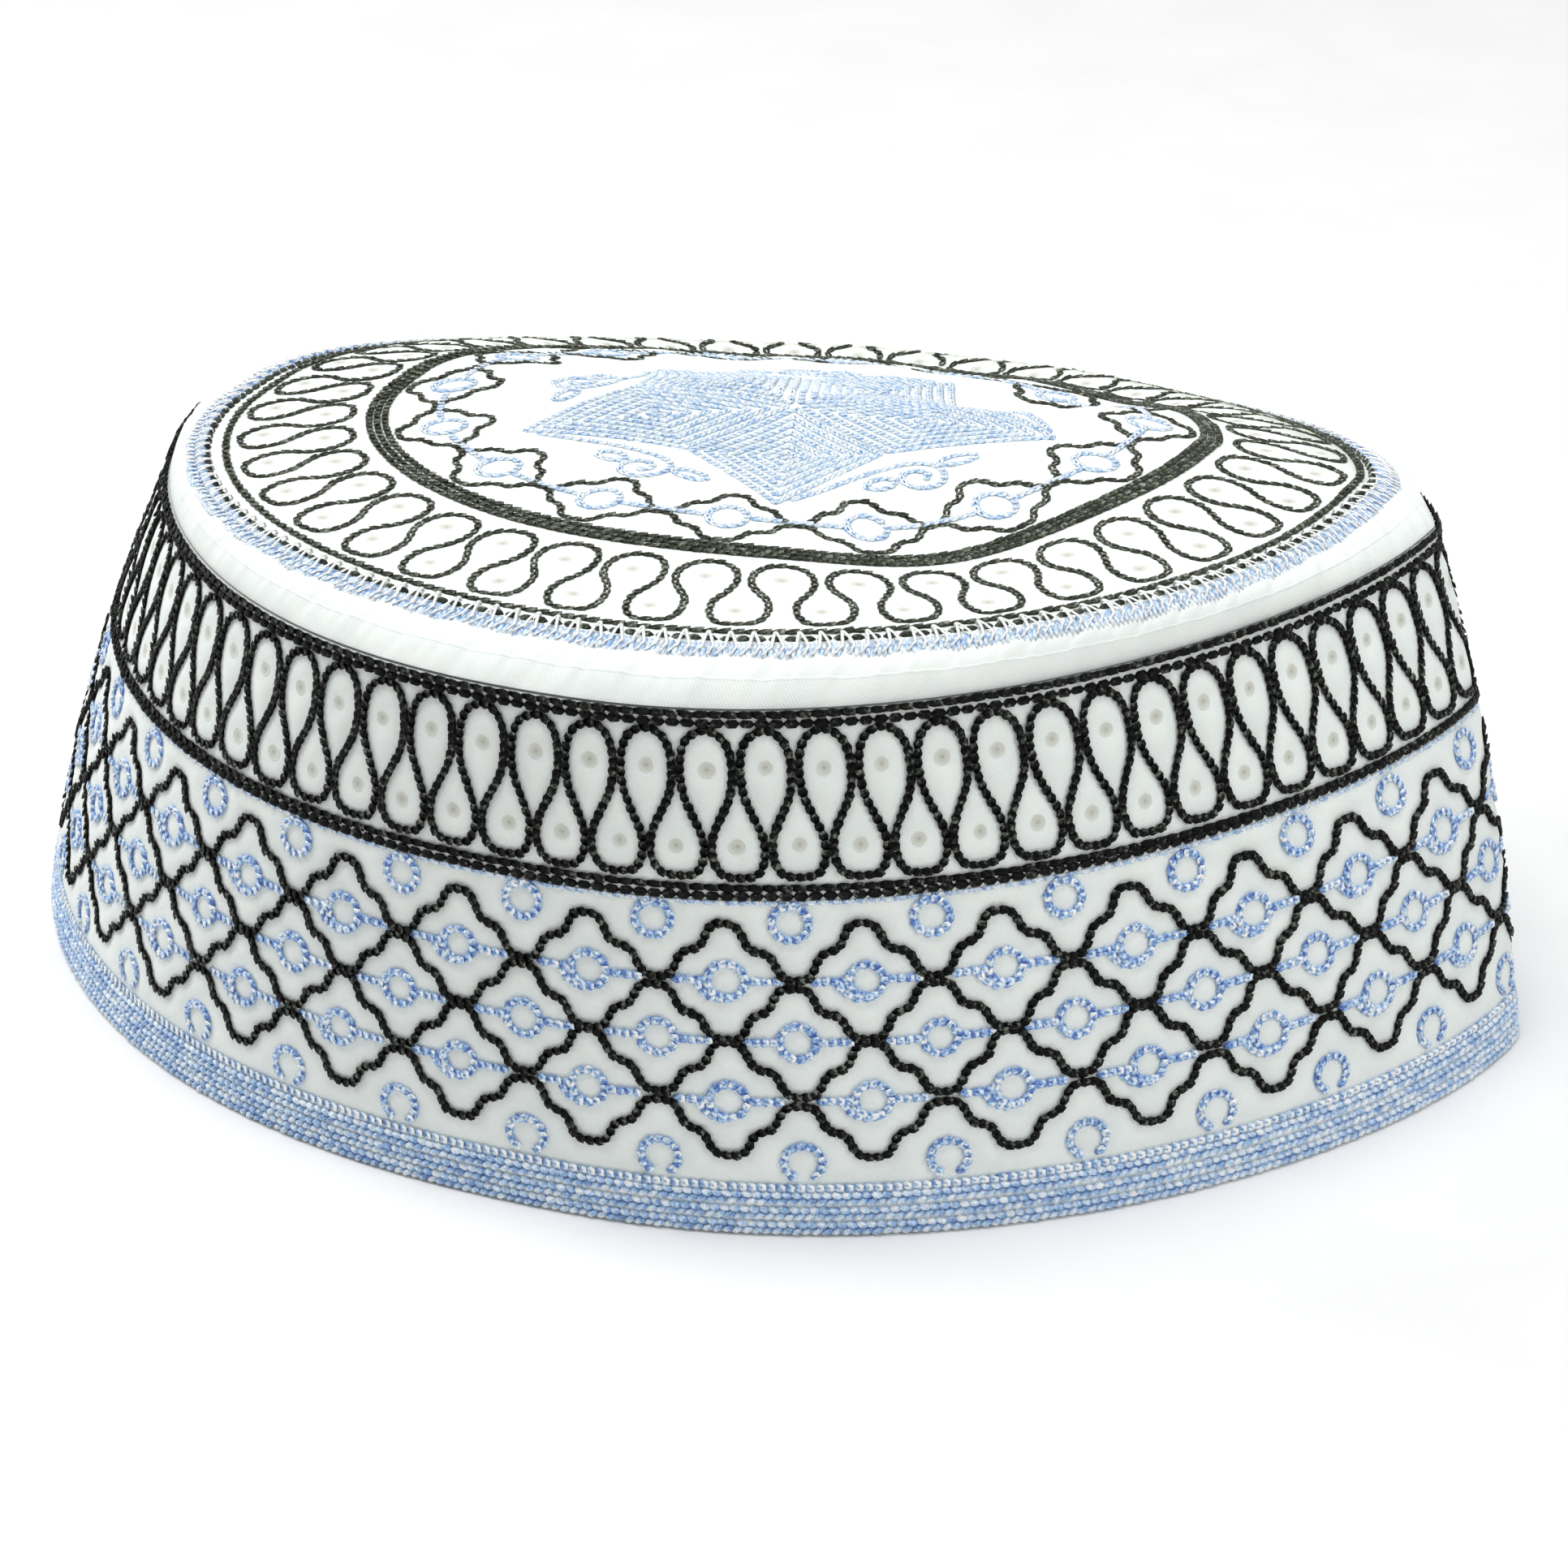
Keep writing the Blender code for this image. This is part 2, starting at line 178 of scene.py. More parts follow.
CURL_OVALS = (                 # middle across and outward, half its length and half its width
    (-5.6, 29.5, 2.0, 1.2), (6.4, 28.5, 2.6, 1.1))
ZIGZAG_PITCH = 0.00275
ZIGZAG_THREAD = (0.00021, 0.00010)    # half its width and half its height
ZIGZAG_LEGS = (-0.08, 0.56)     # feet beside the top of a tooth, in teeth
ZIGZAG_TOPS = (0.45, 0.45, 0.70, 1.25, 1.30, 1.25, 1.05, 0.65)    # in gaps of the double cord
ZIGZAG_PROFILE = (              # share of the way to the crown's edge, height above the cloth
    (0.0, 0.00010), (0.08, 0.00070), (0.45, 0.00090), (0.80, 0.00085), (1.0, 0.00065))
SHOULDER_SEAM = 0.41
SEAM_RIDGE = (0.018, 0.16)      # half its width as a share of the strip, height in millimetres

# Stitches: pitch, length, width and strand thickness
FINE_LINK = (0.00118, 0.00174, 0.00150, 0.00062)
NET_LINK = (0.00118, 0.00177, 0.00160, 0.00067)
CROWN_LINK = (0.00150, 0.00202, 0.00142, 0.00039)
BLUE_LINK = (0.00116, 0.00174, 0.00150, 0.00058)
STAR_LINK = (0.00120, 0.00182, 0.00138, 0.00046)
THIN_LINK = (0.00150, 0.00205, 0.00080, 0.00036)
CORD_LINK = (0.00170, 0.00250, 0.00132, 0.00054)
CROWN_CORD_LINK = (0.00160, 0.00226, 0.00150, 0.00050)
ROPE_LINK = (0.00150, 0.00230, 0.00128, 0.00050)
BEAD = (0.00172, 0.00200, 0.00124, 0.00072)
DASH = (0.00190, 0.00186, 0.00110, 0.00062)
GRAIN = (0.00120, 0.00180, 0.00101, 0.00074)
OVERCAST = (0.00066, 0.00190, 0.00058, 0.00050)
OVERCAST_SLANT = 82.0
LINK_TURNS = 6
LINK_SPREADS = (0.03, 0.05, 0.08)    # how much stitches differ in length, width and height
LINK_SINK = 0.00012
BEAD_COLUMNS = 6
EYELET_RADIUS = 0.00088
EYELET_PROFILE = ((1.22, 0.00), (1.10, 0.17), (0.97, 0.12), (0.70, 0.10), (0.36, 0.09))
EYELET_MIDDLE = 0.08            # height of the middle, in radii as the profile is
EYELET_COLUMNS = 12

# Cloth grids and how far the cloth swells between stitches
CLOTH_STEP = 0.0009
PUFF_BAND = 0.00062
PUFF_CROWN = 0.00070
PUFF_REACH = 0.0020
PUFF_POWER = 1.4
STITCH_HALF = 0.0005
DISC_COLUMNS = ((0.12, 60), (0.25, 120), (0.5, 240), (2.0, 480))    # within a radius, columns
LINING_ROWS = 14
LINING_STEP = 0.05
LINING_RINGS = 18
LINING_EDGE = ((1.0, 480), (0.985, 240), (0.965, 120), (0.93, 60))    # radius, columns
FLAT_FOOT = 12.0                # how soon the quilting rises from the band's foot and its head
FLAT_HEAD = 25.0
SHOULDER_COLUMNS = 1040
GATHERS = (                     # pitch, height in millimetres, drift up the strip, start
    (0.0031, 0.06, 1.2, 0.0), (0.0052, 0.05, -1.1, 1.0),
    (0.0019, 0.04, 2.0, 2.0), (0.0117, 0.10, 0.0, 0.5))
# Painted shade that greys the crown's cloth towards its far edge at the back
SHADE_START = 0.83              # share of the crown's reach
SHADE_REACH = 0.06
SHADE_WIDTH = 1.6               # how soon it is whole towards the middle of the back

# How finely lines and tables are laid
TABLE_ROWS = 121
TABLE_COLUMNS = 1280
OVAL_SAMPLES = 400
LINE_SAMPLES = 1500             # in a row round the band, and the next in one round the crown
CROWN_LINE_SAMPLES = 1400
LOOP_STEPS = 6                  # between two entries of a table
NET_STEPS = 4
CURL_STEPS = 8
RING_TURNS = 40
TUBE_SIDES = 4

# Chance differences of handwork; wavers along the row come first, then those across it
LINE_WAVES = 40
LINE_WAVER = 0.0006
RIM_WAVER = 0.0003
CROWN_LINE_WAVER = 0.0010
LOOP_WAVERS = (0.018, 0.0018)
CROWN_LOOP_WAVERS = (0.020, 0.0016)
NET_WAVERS = (0.012, 0.0013)
DIAMOND_WAVER = 0.002
STITCH_SWAY = 0.07              # in radians
RING_SHIFT = 0.008              # in columns, and the next one in wall heights
RING_RISE = 0.0012
RING_SIZES = (0.94, 1.06)
ARCH_SHIFT = 0.01
EYELET_SHIFT = 0.02             # in loops
EYELET_RISES = (0.0015, 0.002)    # in wall heights on the band, in reaches on the crown
EYELET_SIZES = (0.92, 1.10)
EYELET_SQUEEZES = (0.88, 1.05)
ZIGZAG_SHIFT = 0.04             # in teeth

# Looks
THREADS = {                     # colours, roughness, sheen, specular, coat, head (strength of the painted highlight at a stitch's head), mottling
    "black_thread_stitches": (
        # The two lightest stops are painted glints
        ((0.30, (0.0015, 0.002, 0.0015)), (0.62, (0.005, 0.006, 0.005)),
         (0.82, (0.050, 0.054, 0.046)), (0.95, (0.160, 0.165, 0.145))),
        0.50, 0.0, 0.12, 0.0, 0.45, 1.5),
    # A lighter copy of the black thread for the crown: painted light, for the strong top light that falls
    # on the crown; its lightest stops are painted glints
    "black_thread_with_painted_light_on_the_crown": (
        ((0.25, (0.012, 0.014, 0.008)), (0.60, (0.043, 0.051, 0.034)),
         (0.80, (0.165, 0.180, 0.140)), (0.95, (0.340, 0.355, 0.300))),
        0.50, 0.0, 0.25, 0.0, 0.45, 1.5),
    "blue_thread_stitches": (
        # The lightest stop is a painted glint, near white
        ((0.22, (0.085, 0.180, 0.560)), (0.42, (0.210, 0.400, 0.780)),
         (0.60, (0.490, 0.690, 0.910)), (0.80, (0.930, 0.955, 0.975))),
        0.30, 0.10, 0.60, 0.20, 0.45, 1.5),
    # A paler copy of the blue thread: on the crown this paleness is painted light, for the strong top
    # light that falls there; the thin line on the band is drawn with it too
    "pale_blue_thread_with_painted_light": (
        ((0.20, (0.250, 0.420, 0.740)), (0.46, (0.570, 0.740, 0.930)), (0.70, (0.900, 0.945, 0.975))),
        0.35, 0.10, 0.50, 0.10, 0.45, 1.5),
    "rim_blue_thread_stitches": (
        # The two lightest stops are painted glints, strong at each grain's head
        ((0.22, (0.150, 0.290, 0.600)), (0.42, (0.370, 0.570, 0.850)),
         (0.60, (0.800, 0.890, 0.960)), (0.76, (0.940, 0.960, 0.970))),
        0.30, 0.10, 0.60, 0.30, 0.60, 0.80),
    "white_thread_stitches": (
        ((0.10, (0.80, 0.81, 0.80)), (0.90, (0.90, 0.90, 0.90))),
        0.50, 0.3, 0.50, 0.0, 0.45, 1.5),
}
EYELET_TONES_WITH_PAINTED_SHADE = (                # from the middle outward; the dark middle is painted shade of the hole, which is not cut
    (0.12, (0.38, 0.39, 0.33)), (0.34, (0.54, 0.55, 0.49)), (0.76, (0.62, 0.64, 0.58)),
    (0.92, (0.80, 0.83, 0.79)))
COTTON_TONES = ((0.30, (0.765, 0.81, 0.785)), (0.70, (0.83, 0.87, 0.845)))
# Painted shade: the colour that multiplies the crown's cloth at its far edge at the back
FAR_EDGE_PAINTED_SHADE = (0.66, 0.66, 0.58, 1.0)
FLOOR_TONES = ((0.3, (0.78, 0.78, 0.78)), (0.7, (0.81, 0.81, 0.81)))
WEAVE_PITCH = 0.00042
TWISTS = 9.0                    # turns of the plies in one stitch
FIBRE_SCALE = 2200.0            # how fine the mottling of each surface is
EYELET_FIBRE_SCALE = 1800.0
SLUB_SCALE = 1400.0
COTTON_SCALE = 160.0
FLOOR_SCALE = 40.0
PLY_RELIEF = (0.35, 0.0001)     # strength and depth
FIBRE_RELIEF = (0.4, 0.00008)
EYELET_RELIEF = (0.5, 0.0001)
WEAVE_RELIEF = (0.25, 0.00008)
SLUB_RELIEF = (0.3, 0.00008)

# Floor and lights
FLOOR_REACH = 6.0
WORLD_STRENGTH = 0.38
LIGHT_SIZE = 0.7
LIGHT_AIM = (0.0, 0.0, 0.04)
LIGHTS = (                      # name, place, power
    ("top_light", (-0.05, -0.05, 1.15), 10.5),
    ("left_light", (-1.15, 0.10, 0.6), 6.3),
    ("right_light", (1.1, -0.35, 0.75), 4.3),
)

# Stitched pieces
STITCHED = (                    # works, thread, the node that they replace
    ("upper_cord", "black_thread_stitches", "upper_cord"),
    ("lower_cord", "black_thread_stitches", "lower_cord"),
    ("thin_blue", "pale_blue_thread_with_painted_light", None),
    ("loop", "black_thread_stitches", None),
    ("net", "black_thread_stitches", None),
    ("ring", "blue_thread_stitches", None),
    ("rim", "rim_blue_thread_stitches", "rim_braid"),
    ("crown_loop", "black_thread_with_painted_light_on_the_crown", None),
    ("crown_blue", "pale_blue_thread_with_painted_light", None),
    ("star", "pale_blue_thread_with_painted_light", "crown_star"),
    ("ring_cord", "black_thread_with_painted_light_on_the_crown", "crown_ring_cord"),
    ("double_cord", "black_thread_with_painted_light_on_the_crown", "crown_double_cord"),
    ("edge_braid", "pale_blue_thread_with_painted_light", "crown_edge_braid"),
)

random = np.random.default_rng(SEED)


# Camera

def make_camera():
    """The camera looks past its target so that the target falls on its own pixel."""
    back = Vector((math.sin(CAMERA_TURN) * math.cos(CAMERA_RISE),
                   -math.cos(CAMERA_TURN) * math.cos(CAMERA_RISE),
                   math.sin(CAMERA_RISE)))
    level = (-back).cross(Vector((0, 0, 1))).normalized()
    upright = level.cross(-back)
    right = level * math.cos(CAMERA_ROLL) + upright * math.sin(CAMERA_ROLL)
    up = upright * math.cos(CAMERA_ROLL) - level * math.sin(CAMERA_ROLL)
    middle = PICTURE_PIXELS / 2
    aim = -back + right * ((middle - TARGET_PIXEL[0]) / FOCAL_PIXELS)
    aim = aim - up * ((middle - TARGET_PIXEL[1]) / FOCAL_PIXELS)
    aim.normalize()
    right = (right - aim * right.dot(aim)).normalized()
    up = right.cross(aim)
    data = bpy.data.cameras.new("camera")
    data.sensor_width = SENSOR
    data.lens = SENSOR * FOCAL_PIXELS / PICTURE_PIXELS
    data.clip_start = 0.01
    data.clip_end = 20.0
    camera = bpy.data.objects.new("camera", data)
    bpy.context.scene.collection.objects.link(camera)
    turn = Matrix((right, up, -aim)).transposed().to_4x4()
    place = Vector(CAMERA_TARGET) + back * CAMERA_DISTANCE
    camera.matrix_world = Matrix.Translation(place) @ turn
    bpy.context.scene.camera = camera


# The cap's surfaces

def band_plan(share):
    """The side band's oval at a share of the wall height: reaches, end places, bluntness."""
    low, middle, high = OUTLINE_ROWS
    weights = (2 * (share - 0.5) * (share - 1), 4 * share * (1 - share), 2 * share * (share - 0.5))
    reach = [sum(w * row[i] for w, row in zip(weights, (low, middle, high))) for i in range(1, 5)]
    ends = [a + (b - a) * share for a, b in zip(*END_PLACES)]
    return reach, ends, BAND_BLUNTNESS


CROWN_PLAN = (CROWN_REACH, CROWN_END_PLACES, CROWN_BLUNTNESS)


def quarter(reach, depth, end_place, fullness, bluntness, side):
    """Points from the deepest point of one side to one end of the oval."""
    along = np.sin(0.5 * math.pi * np.arange(OVAL_SAMPLES + 1) / OVAL_SAMPLES)
    across = np.maximum(0.0, 1.0 - along ** fullness) ** bluntness
    return np.stack([MIDDLE_SHIFT + side * reach * along,
                     end_place + (depth - end_place) * across], 1)


def distances(points):
    steps = np.linalg.norm(np.diff(points, axis=0), axis=1)
    return np.concatenate([[0.0], np.cumsum(steps)])


def values_at(wanted, travelled, values):
    """Values along a line at wanted distances, where travelled gives each point's distance."""
    return np.stack([np.interp(wanted, travelled, column) for column in values.T], 1)


def along_line(points, wanted):
    return values_at(wanted, distances(points), points)


def oval(plan):
    """Points round the oval, even along the front half and along the back half.

    Also each point's share of the way round, and the left end's distance as a share of two fronts.
    """
    (left, right, front, back), (left_end, right_end), bluntness = plan
    sides = ((left, -front, left_end, -1), (right, -front, right_end, 1),
             (left, back, left_end, -1), (right, back, right_end, 1))
    quarters = [quarter(reach, depth, end, FULLNESS[i], bluntness[i], side)
                for i, (reach, depth, end, side) in enumerate(sides)]
    front_line = np.concatenate([quarters[0][::-1], quarters[1][1:]])
    back_line = np.concatenate([quarters[3][::-1], quarters[2][1:]])
    lead = distances(quarters[0])[-1]
    front_length = distances(front_line)[-1]
    back_length = distances(back_line)[-1]
    half = np.arange(TABLE_COLUMNS // 2) / (TABLE_COLUMNS // 2)
    points = np.concatenate([along_line(front_line, half * front_length),
                             along_line(back_line, half * back_length)])
    travelled = np.concatenate([half * front_length, front_length + half * back_length])
    shares = (travelled - lead) / (front_length + back_length)
    return points, shares, lead / (2 * front_length), 2 * front_length


def backwardness(share):
    """From 0 at the ends and the front to 1 at the middle of the back."""
    return np.maximum(0.0, -np.cos(2 * math.pi * share))


def wall_height(share):
    drop = BACK_DROP + BACK_DROP_RIGHT * np.sin(2 * math.pi * share)
    return WALL_HEIGHT - drop * backwardness(share) ** BACK_DROP_POWER


def between(a, b, c, d, part):
    """A smooth value between b and c, which come after a and before d."""
    return 0.5 * (2 * b + (c - a) * part + (2 * a - 5 * b + 4 * c - d) * part ** 2
                  + (3 * b - a - 3 * c + d) * part ** 3)


def smooth_round(table, share):
    """A smooth value from a table for even places round the cap, from the front to the fold."""
    values = np.array(table)
    place = np.mod(share, 1.0) * len(values)
    first = np.floor(place).astype(int)
    near = [values[(first + i) % len(values)] for i in (-1, 0, 1, 2)]
    return between(*near, place - first)


def edge_height(share):
    """Height of the crown's edge."""
    return BAND_TOP * wall_height(share) + GAP + smooth_round(EDGE_RISES, share)


def unit(vectors):
    return vectors / np.linalg.norm(vectors, axis=-1, keepdims=True)


def band_tables():
    """Points and outward normals of the side band's face, and where its left end lies."""
    heights = np.linspace(0.0, BAND_TOP, TABLE_ROWS)
    points = np.zeros((TABLE_ROWS, TABLE_COLUMNS, 3))
    leads = np.zeros(TABLE_ROWS)
    lengths = np.zeros(TABLE_ROWS)
    for row, height in enumerate(heights):
        line, shares, leads[row], lengths[row] = oval(band_plan(height))
        points[row, :, :2] = line
        points[row, :, 2] = height * wall_height(shares)
    around = np.roll(points, -2, axis=1) - np.roll(points, 2, axis=1)
    upward = np.gradient(points, axis=0)
    normals = unit(np.cross(around, upward))
    smooth = sum(np.roll(normals, shift, axis=1) for shift in range(-3, 4))
    return points, unit(smooth), leads, lengths


BAND_POINTS, BAND_NORMALS, BAND_LEADS, BAND_LENGTHS = band_tables()
BAND_SLANT = float(np.linalg.norm(BAND_POINTS[-1, 320] - BAND_POINTS[0, 320])) / BAND_TOP


def sample(table, column, row):
    """Values between the entries of a table whose columns go round."""
    across = np.mod(column, 1.0) * table.shape[1]
    first = np.floor(across).astype(int)
    part = (across - first)[:, None]
    first = first % table.shape[1]
    second = (first + 1) % table.shape[1]
    down = np.clip(row, 0.0, 1.0) * (table.shape[0] - 1)
    low = np.minimum(np.floor(down).astype(int), table.shape[0] - 2)
    rise = (down - low)[:, None]
    bottom = table[low, first] * (1 - part) + table[low, second] * part
    top = table[low + 1, first] * (1 - part) + table[low + 1, second] * part
    return bottom * (1 - rise) + top * rise


def band_column(way, height):
    """Column of the band's table for a way round from the front's middle."""
    levels = np.linspace(0.0, BAND_TOP, TABLE_ROWS)
    return way + np.interp(height, levels, BAND_LEADS)


def band_place(way, height, lift=0.0):
    """Points and normals on the side band."""
    way, height = np.broadcast_arrays(np.asarray(way, float), np.asarray(height, float))
    column = band_column(way, height)
    normals = unit(sample(BAND_NORMALS, column, height / BAND_TOP))
    return sample(BAND_POINTS, column, height / BAND_TOP) + normals * lift, normals


def closed(line):
    """A line with its first entry again at its end."""
    return np.concatenate([line, line[:1]])


def crown_tables():
    """The strip's upper edge, the crown's edge just inside it, and their shares of the way round."""
    points, shares, _, _ = oval(CROWN_PLAN)
    around = np.roll(points, -1, axis=0) - np.roll(points, 1, axis=0)
    outward = unit(np.stack([around[:, 1], -around[:, 0]], 1))
    return points, points - outward * GAP, np.append(shares, shares[0] + 1.0)


HEAD_POINTS, EDGE_POINTS, EDGE_SHARES = crown_tables()


def round_value(values, column):
    """A value of a closed table at shares of the way round from the left end."""
    return np.interp(np.mod(column, 1.0) * TABLE_COLUMNS, np.arange(TABLE_COLUMNS + 1), values)


def edge_at(share):
    """The crown's edge at any share of the way round."""
    start = EDGE_SHARES[0]
    wanted = np.mod(share - start, 1.0) + start
    return [np.interp(wanted, EDGE_SHARES, line) for line in closed(EDGE_POINTS).T]


def crown_point(radius, share):
    """Points of the crown's top."""
    edge_x, edge_y = edge_at(share)
    inward = 1.0 - radius ** 2
    x = MIDDLE_SHIFT + (edge_x - MIDDLE_SHIFT) * radius + CROWN_MIDDLE[0] * inward
    y = edge_y * radius + CROWN_MIDDLE[1] * inward
    fall = (edge_height(share) - CROWN_MIDDLE_HEIGHT) * radius ** CROWN_FALL_POWER
    z = CROWN_MIDDLE_HEIGHT + fall
    for dent_x, dent_y, reach, height in CROWN_DENTS:
        far = ((x - MIDDLE_SHIFT - dent_x) ** 2 + (y - dent_y) ** 2) / reach ** 2
        z = z + height * np.exp(-far)
    part = np.maximum(0.0, (radius - EDGE_ROLL_START) / (1.0 - EDGE_ROLL_START))
    z = z + EDGE_ROLL * backwardness(share) * np.sin(math.pi * part)
    return np.stack([x, y, z], -1)


def crown_place(radius, share, lift=0.0):
    """Points and normals on the crown."""
    radius, share = np.broadcast_arrays(np.asarray(radius, float), np.asarray(share, float))
    safe = np.maximum(radius, 0.03)
    outward = crown_point(safe + 0.01, share) - crown_point(safe - 0.01, share)
    around = crown_point(safe, share + 0.002) - crown_point(safe, share - 0.002)
    normals = unit(np.cross(outward, around))
    return crown_point(radius, share) + normals * lift, normals


def flat_place(x, y):
    """Points and normals on the crown for a flat pattern: x towards the fold, y to the front."""
    x, y = np.broadcast_arrays(np.asarray(x, float), np.asarray(y, float))
    return crown_place(np.hypot(x, y), np.arctan2(x, y) / (2 * math.pi))


def shoulder_frame(column):
    """Foot, slope and outward direction of the shoulder strip."""
    feet = sample(BAND_POINTS, column, np.ones_like(column)) + np.array([0, 0, GAP])
    heads = [round_value(line, column) for line in closed(HEAD_POINTS).T]
    heads.append(edge_height(round_value(EDGE_SHARES, column)))
    slope = np.stack(heads, 1) - feet
    level = unit(slope * np.array([1, 1, 0]))
    outward = -level * slope[:, 2:3]
    outward[:, 2] += (slope * level).sum(1)
    return feet, slope, unit(outward)


def shoulder_place(column, part, lift=0.0):
    """Points and normals on the shoulder strip, from its foot at 0 to its head at 1."""
    column, part = np.broadcast_arrays(np.asarray(column, float), np.asarray(part, float))
    feet, slope, outward = shoulder_frame(column)
    bulge = SHOULDER_BULGE * np.sin(math.pi * np.clip(part, 0, 1)) + lift
    return feet + slope * part[:, None] + outward * bulge[:, None], outward


# Stitch lines: each is laid as dense points, then divided into stitches

class Work:
    """Stitches of one kind, waiting to be built, and the dense lines that they follow."""

    def __init__(self, link, pattern="chain", slant=0.0):
        self.pitch, self.length, self.width, self.strand = link
        self.pattern = pattern
        self.slant = math.radians(slant)
        self.places = []
        self.directions = []
        self.normals = []
        self.stretch = []
        self.seams = []

    def add(self, line, start=0.5):
        points, normals = line
        travelled = distances(points)
        count = max(1, int(round(travelled[-1] / self.pitch)))
        step = travelled[-1] / count
        middles = (np.arange(count) + start) * step
        ahead = values_at(middles + 0.35 * step, travelled, points)
        behind = values_at(middles - 0.35 * step, travelled, points)
        self.places.append(values_at(middles, travelled, points))
        self.directions.append(unit(ahead - behind))
        self.normals.append(unit(values_at(middles, travelled, normals)))
        self.stretch.append(np.full(count, step / self.pitch))
        self.seams.append(points)


def smooth_through(points, steps):
    """A smooth line from the second of some points to the last but one."""
    nearby = zip(points, points[1:], points[2:], points[3:])
    line = [between(*near, step / steps) for near in nearby for step in range(steps)]
    return np.array(line + [points[-2]])


def smooth_half(rows):
    """A smooth line through a table's points, which continues mirrored at both its ends."""
    points = np.array(rows)
    before = [-points[1, 0], points[1, 1]]
    after = [1.0 - points[-2, 0], points[-2, 1]]
    return smooth_through(np.vstack([before, points, after]), LOOP_STEPS)


def smooth_line(rows, steps):
    """A smooth line through a table's points."""
    points = np.array(rows, float)
    before = 2 * points[0] - points[1]
    after = 2 * points[-1] - points[-2]
    return smooth_through(np.vstack([before, points, after]), steps)


def meander(rows, count):
    """One strand that swings round all the loops: place in loops, and height or radius."""
    half = smooth_half(rows)
    other = half[::-1].copy()
    other[:, 0] = 1.0 - other[:, 0]
    loop = np.concatenate([half, other[1:-1]])
    return np.concatenate([loop + [i, 0] for i in range(count)] + [loop[:1] + [count, 0]])


def wobble(place, count, amounts, seed):
    """A slow hand-guided waver, the same where the line closes."""
    waver = np.random.default_rng(seed)
    result = np.zeros_like(place)
    for cycles in (count // 7, count // 3, count, 2 * count + 1):
        phase = waver.uniform(0, 2 * math.pi)
        result += np.sin(2 * math.pi * place * cycles / count + phase) / 2
    return result * amounts


def level_line(height, gaps=(), waver=LINE_WAVER, seed=1, lift=0.0):
    """A line round the band, lower than its height by the gaps of some tables."""
    way = np.linspace(0.0, 1.0, LINE_SAMPLES)
    below = sum(smooth_round(table, way) for table in gaps)
    return band_place(way, height - below + wobble(way, LINE_WAVES, waver, seed), lift)


def crown_level_line(radius, gaps=(), seed=1):
    """A line round the crown, further out than its radius by the gaps of some tables."""
    share = np.linspace(0.0, 1.0, CROWN_LINE_SAMPLES)
    beyond = sum(smooth_round(table, share) for table in gaps)
    return crown_place(radius + beyond + wobble(share, LINE_WAVES, CROWN_LINE_WAVER, seed), share)


def strip_line(part):
    """A line along the shoulder strip."""
    return shoulder_place(np.linspace(0.0, 1.0, CROWN_LINE_SAMPLES), part)


def loop_strand(rows, count, phase, wavers, seed):
    """The strand of all loops: shares of the way round, and heights or radii."""
    place, height = meander(rows, count).T
    moved = place + wobble(place, count, wavers[0], seed)
    return (moved + 0.5) / count + phase, height + wobble(place, count, wavers[1], seed + 1)


def net_wave(half_columns, peak):
    """One stepped wave: place in columns, and swing from 1 at a peak to -1 at a trough."""
    slope = smooth_line(NET_SLOPE, NET_STEPS)[:-1]
    swing = 1.0 - 2.0 * slope[:, 1]
    places = [(h + slope[:, 0]) / 2 for h in range(half_columns)]
    swings = [swing if h % 2 == 0 else -swing for h in range(half_columns)]
    place = np.append(np.concatenate(places), half_columns / 2) + peak
    swing = np.append(np.concatenate(swings), 1.0 if half_columns % 2 == 0 else -1.0)
    return place, swing


def add_net(work):
    for line, (middle, swing, peak) in enumerate(NET_LINES):
        place, fall = net_wave(2 * COLUMNS, peak)
        moved = place + wobble(place, COLUMNS, NET_WAVERS[0], 20 + line)
        height = middle + swing * fall + wobble(place, COLUMNS, NET_WAVERS[1], 30 + line)
        work.add(band_place(moved / COLUMNS + COLUMN_PHASE, height))


def band_beside(place, height, across, rise=0.0):
    """Points on the band, some metres across and up from a place in columns and a height."""
    level = np.interp(height, np.linspace(0, BAND_TOP, TABLE_ROWS), BAND_LENGTHS)
    return band_place(place / COLUMNS + COLUMN_PHASE + across / level, height + rise / BAND_SLANT)


def band_ring(place, height, radius, start=0.0, sweep=2 * math.pi):
    """A small ring on the band, whole or open."""
    turn = start + np.linspace(0.0, 1.0, RING_TURNS) * sweep
    return band_beside(place, height, radius * np.cos(turn), radius * np.sin(turn))


def band_leaf(place, height, radius):
    """The strand that leaves a ring's left side and merges into its foot."""
    part = np.linspace(0.0, 1.0, 16)
    turn = math.pi * (1.0 + LEAF_TURN * part)
    reach = radius + LEAF_REACH * (1.0 - part) ** LEAF_POWER
    return band_beside(place, height, reach * np.cos(turn), reach * np.sin(turn))


def band_dash(place, height, first, last):
    """A short level line on the band, from first to last metres beside a place."""
    return band_beside(place, height, np.linspace(first, last, 12))


def add_rings(work):
    spread = 0.5 * float(np.mean(BAND_LENGTHS)) / COLUMNS - DASH_GAP
    for row, (height, shift) in enumerate(NET_ROWS):
        for column in range(COLUMNS):
            place = column + shift + random.normal(0, RING_SHIFT)
            level = height + random.normal(0, RING_RISE)
            size = RING_RADIUS * random.uniform(*RING_SIZES)
            side = size + DASH_START
            work.add(band_ring(place, level, size, start=random.uniform(0, 6)))
            work.add(band_dash(place, level, -spread, -side))
            work.add(band_dash(place, level, side, spread))
            if row != LEAFLESS_ROW:
                work.add(band_leaf(place, level, size))
    for column in range(COLUMNS):
        work.add(band_ring(column + random.normal(0, ARCH_SHIFT), TOP_RINGS, RING_RADIUS))
        work.add(band_ring(column + random.normal(0, ARCH_SHIFT), BOTTOM_RINGS, ARCH_RADIUS,
                           start=-ARCH_FOOT, sweep=math.pi + 2 * ARCH_FOOT))


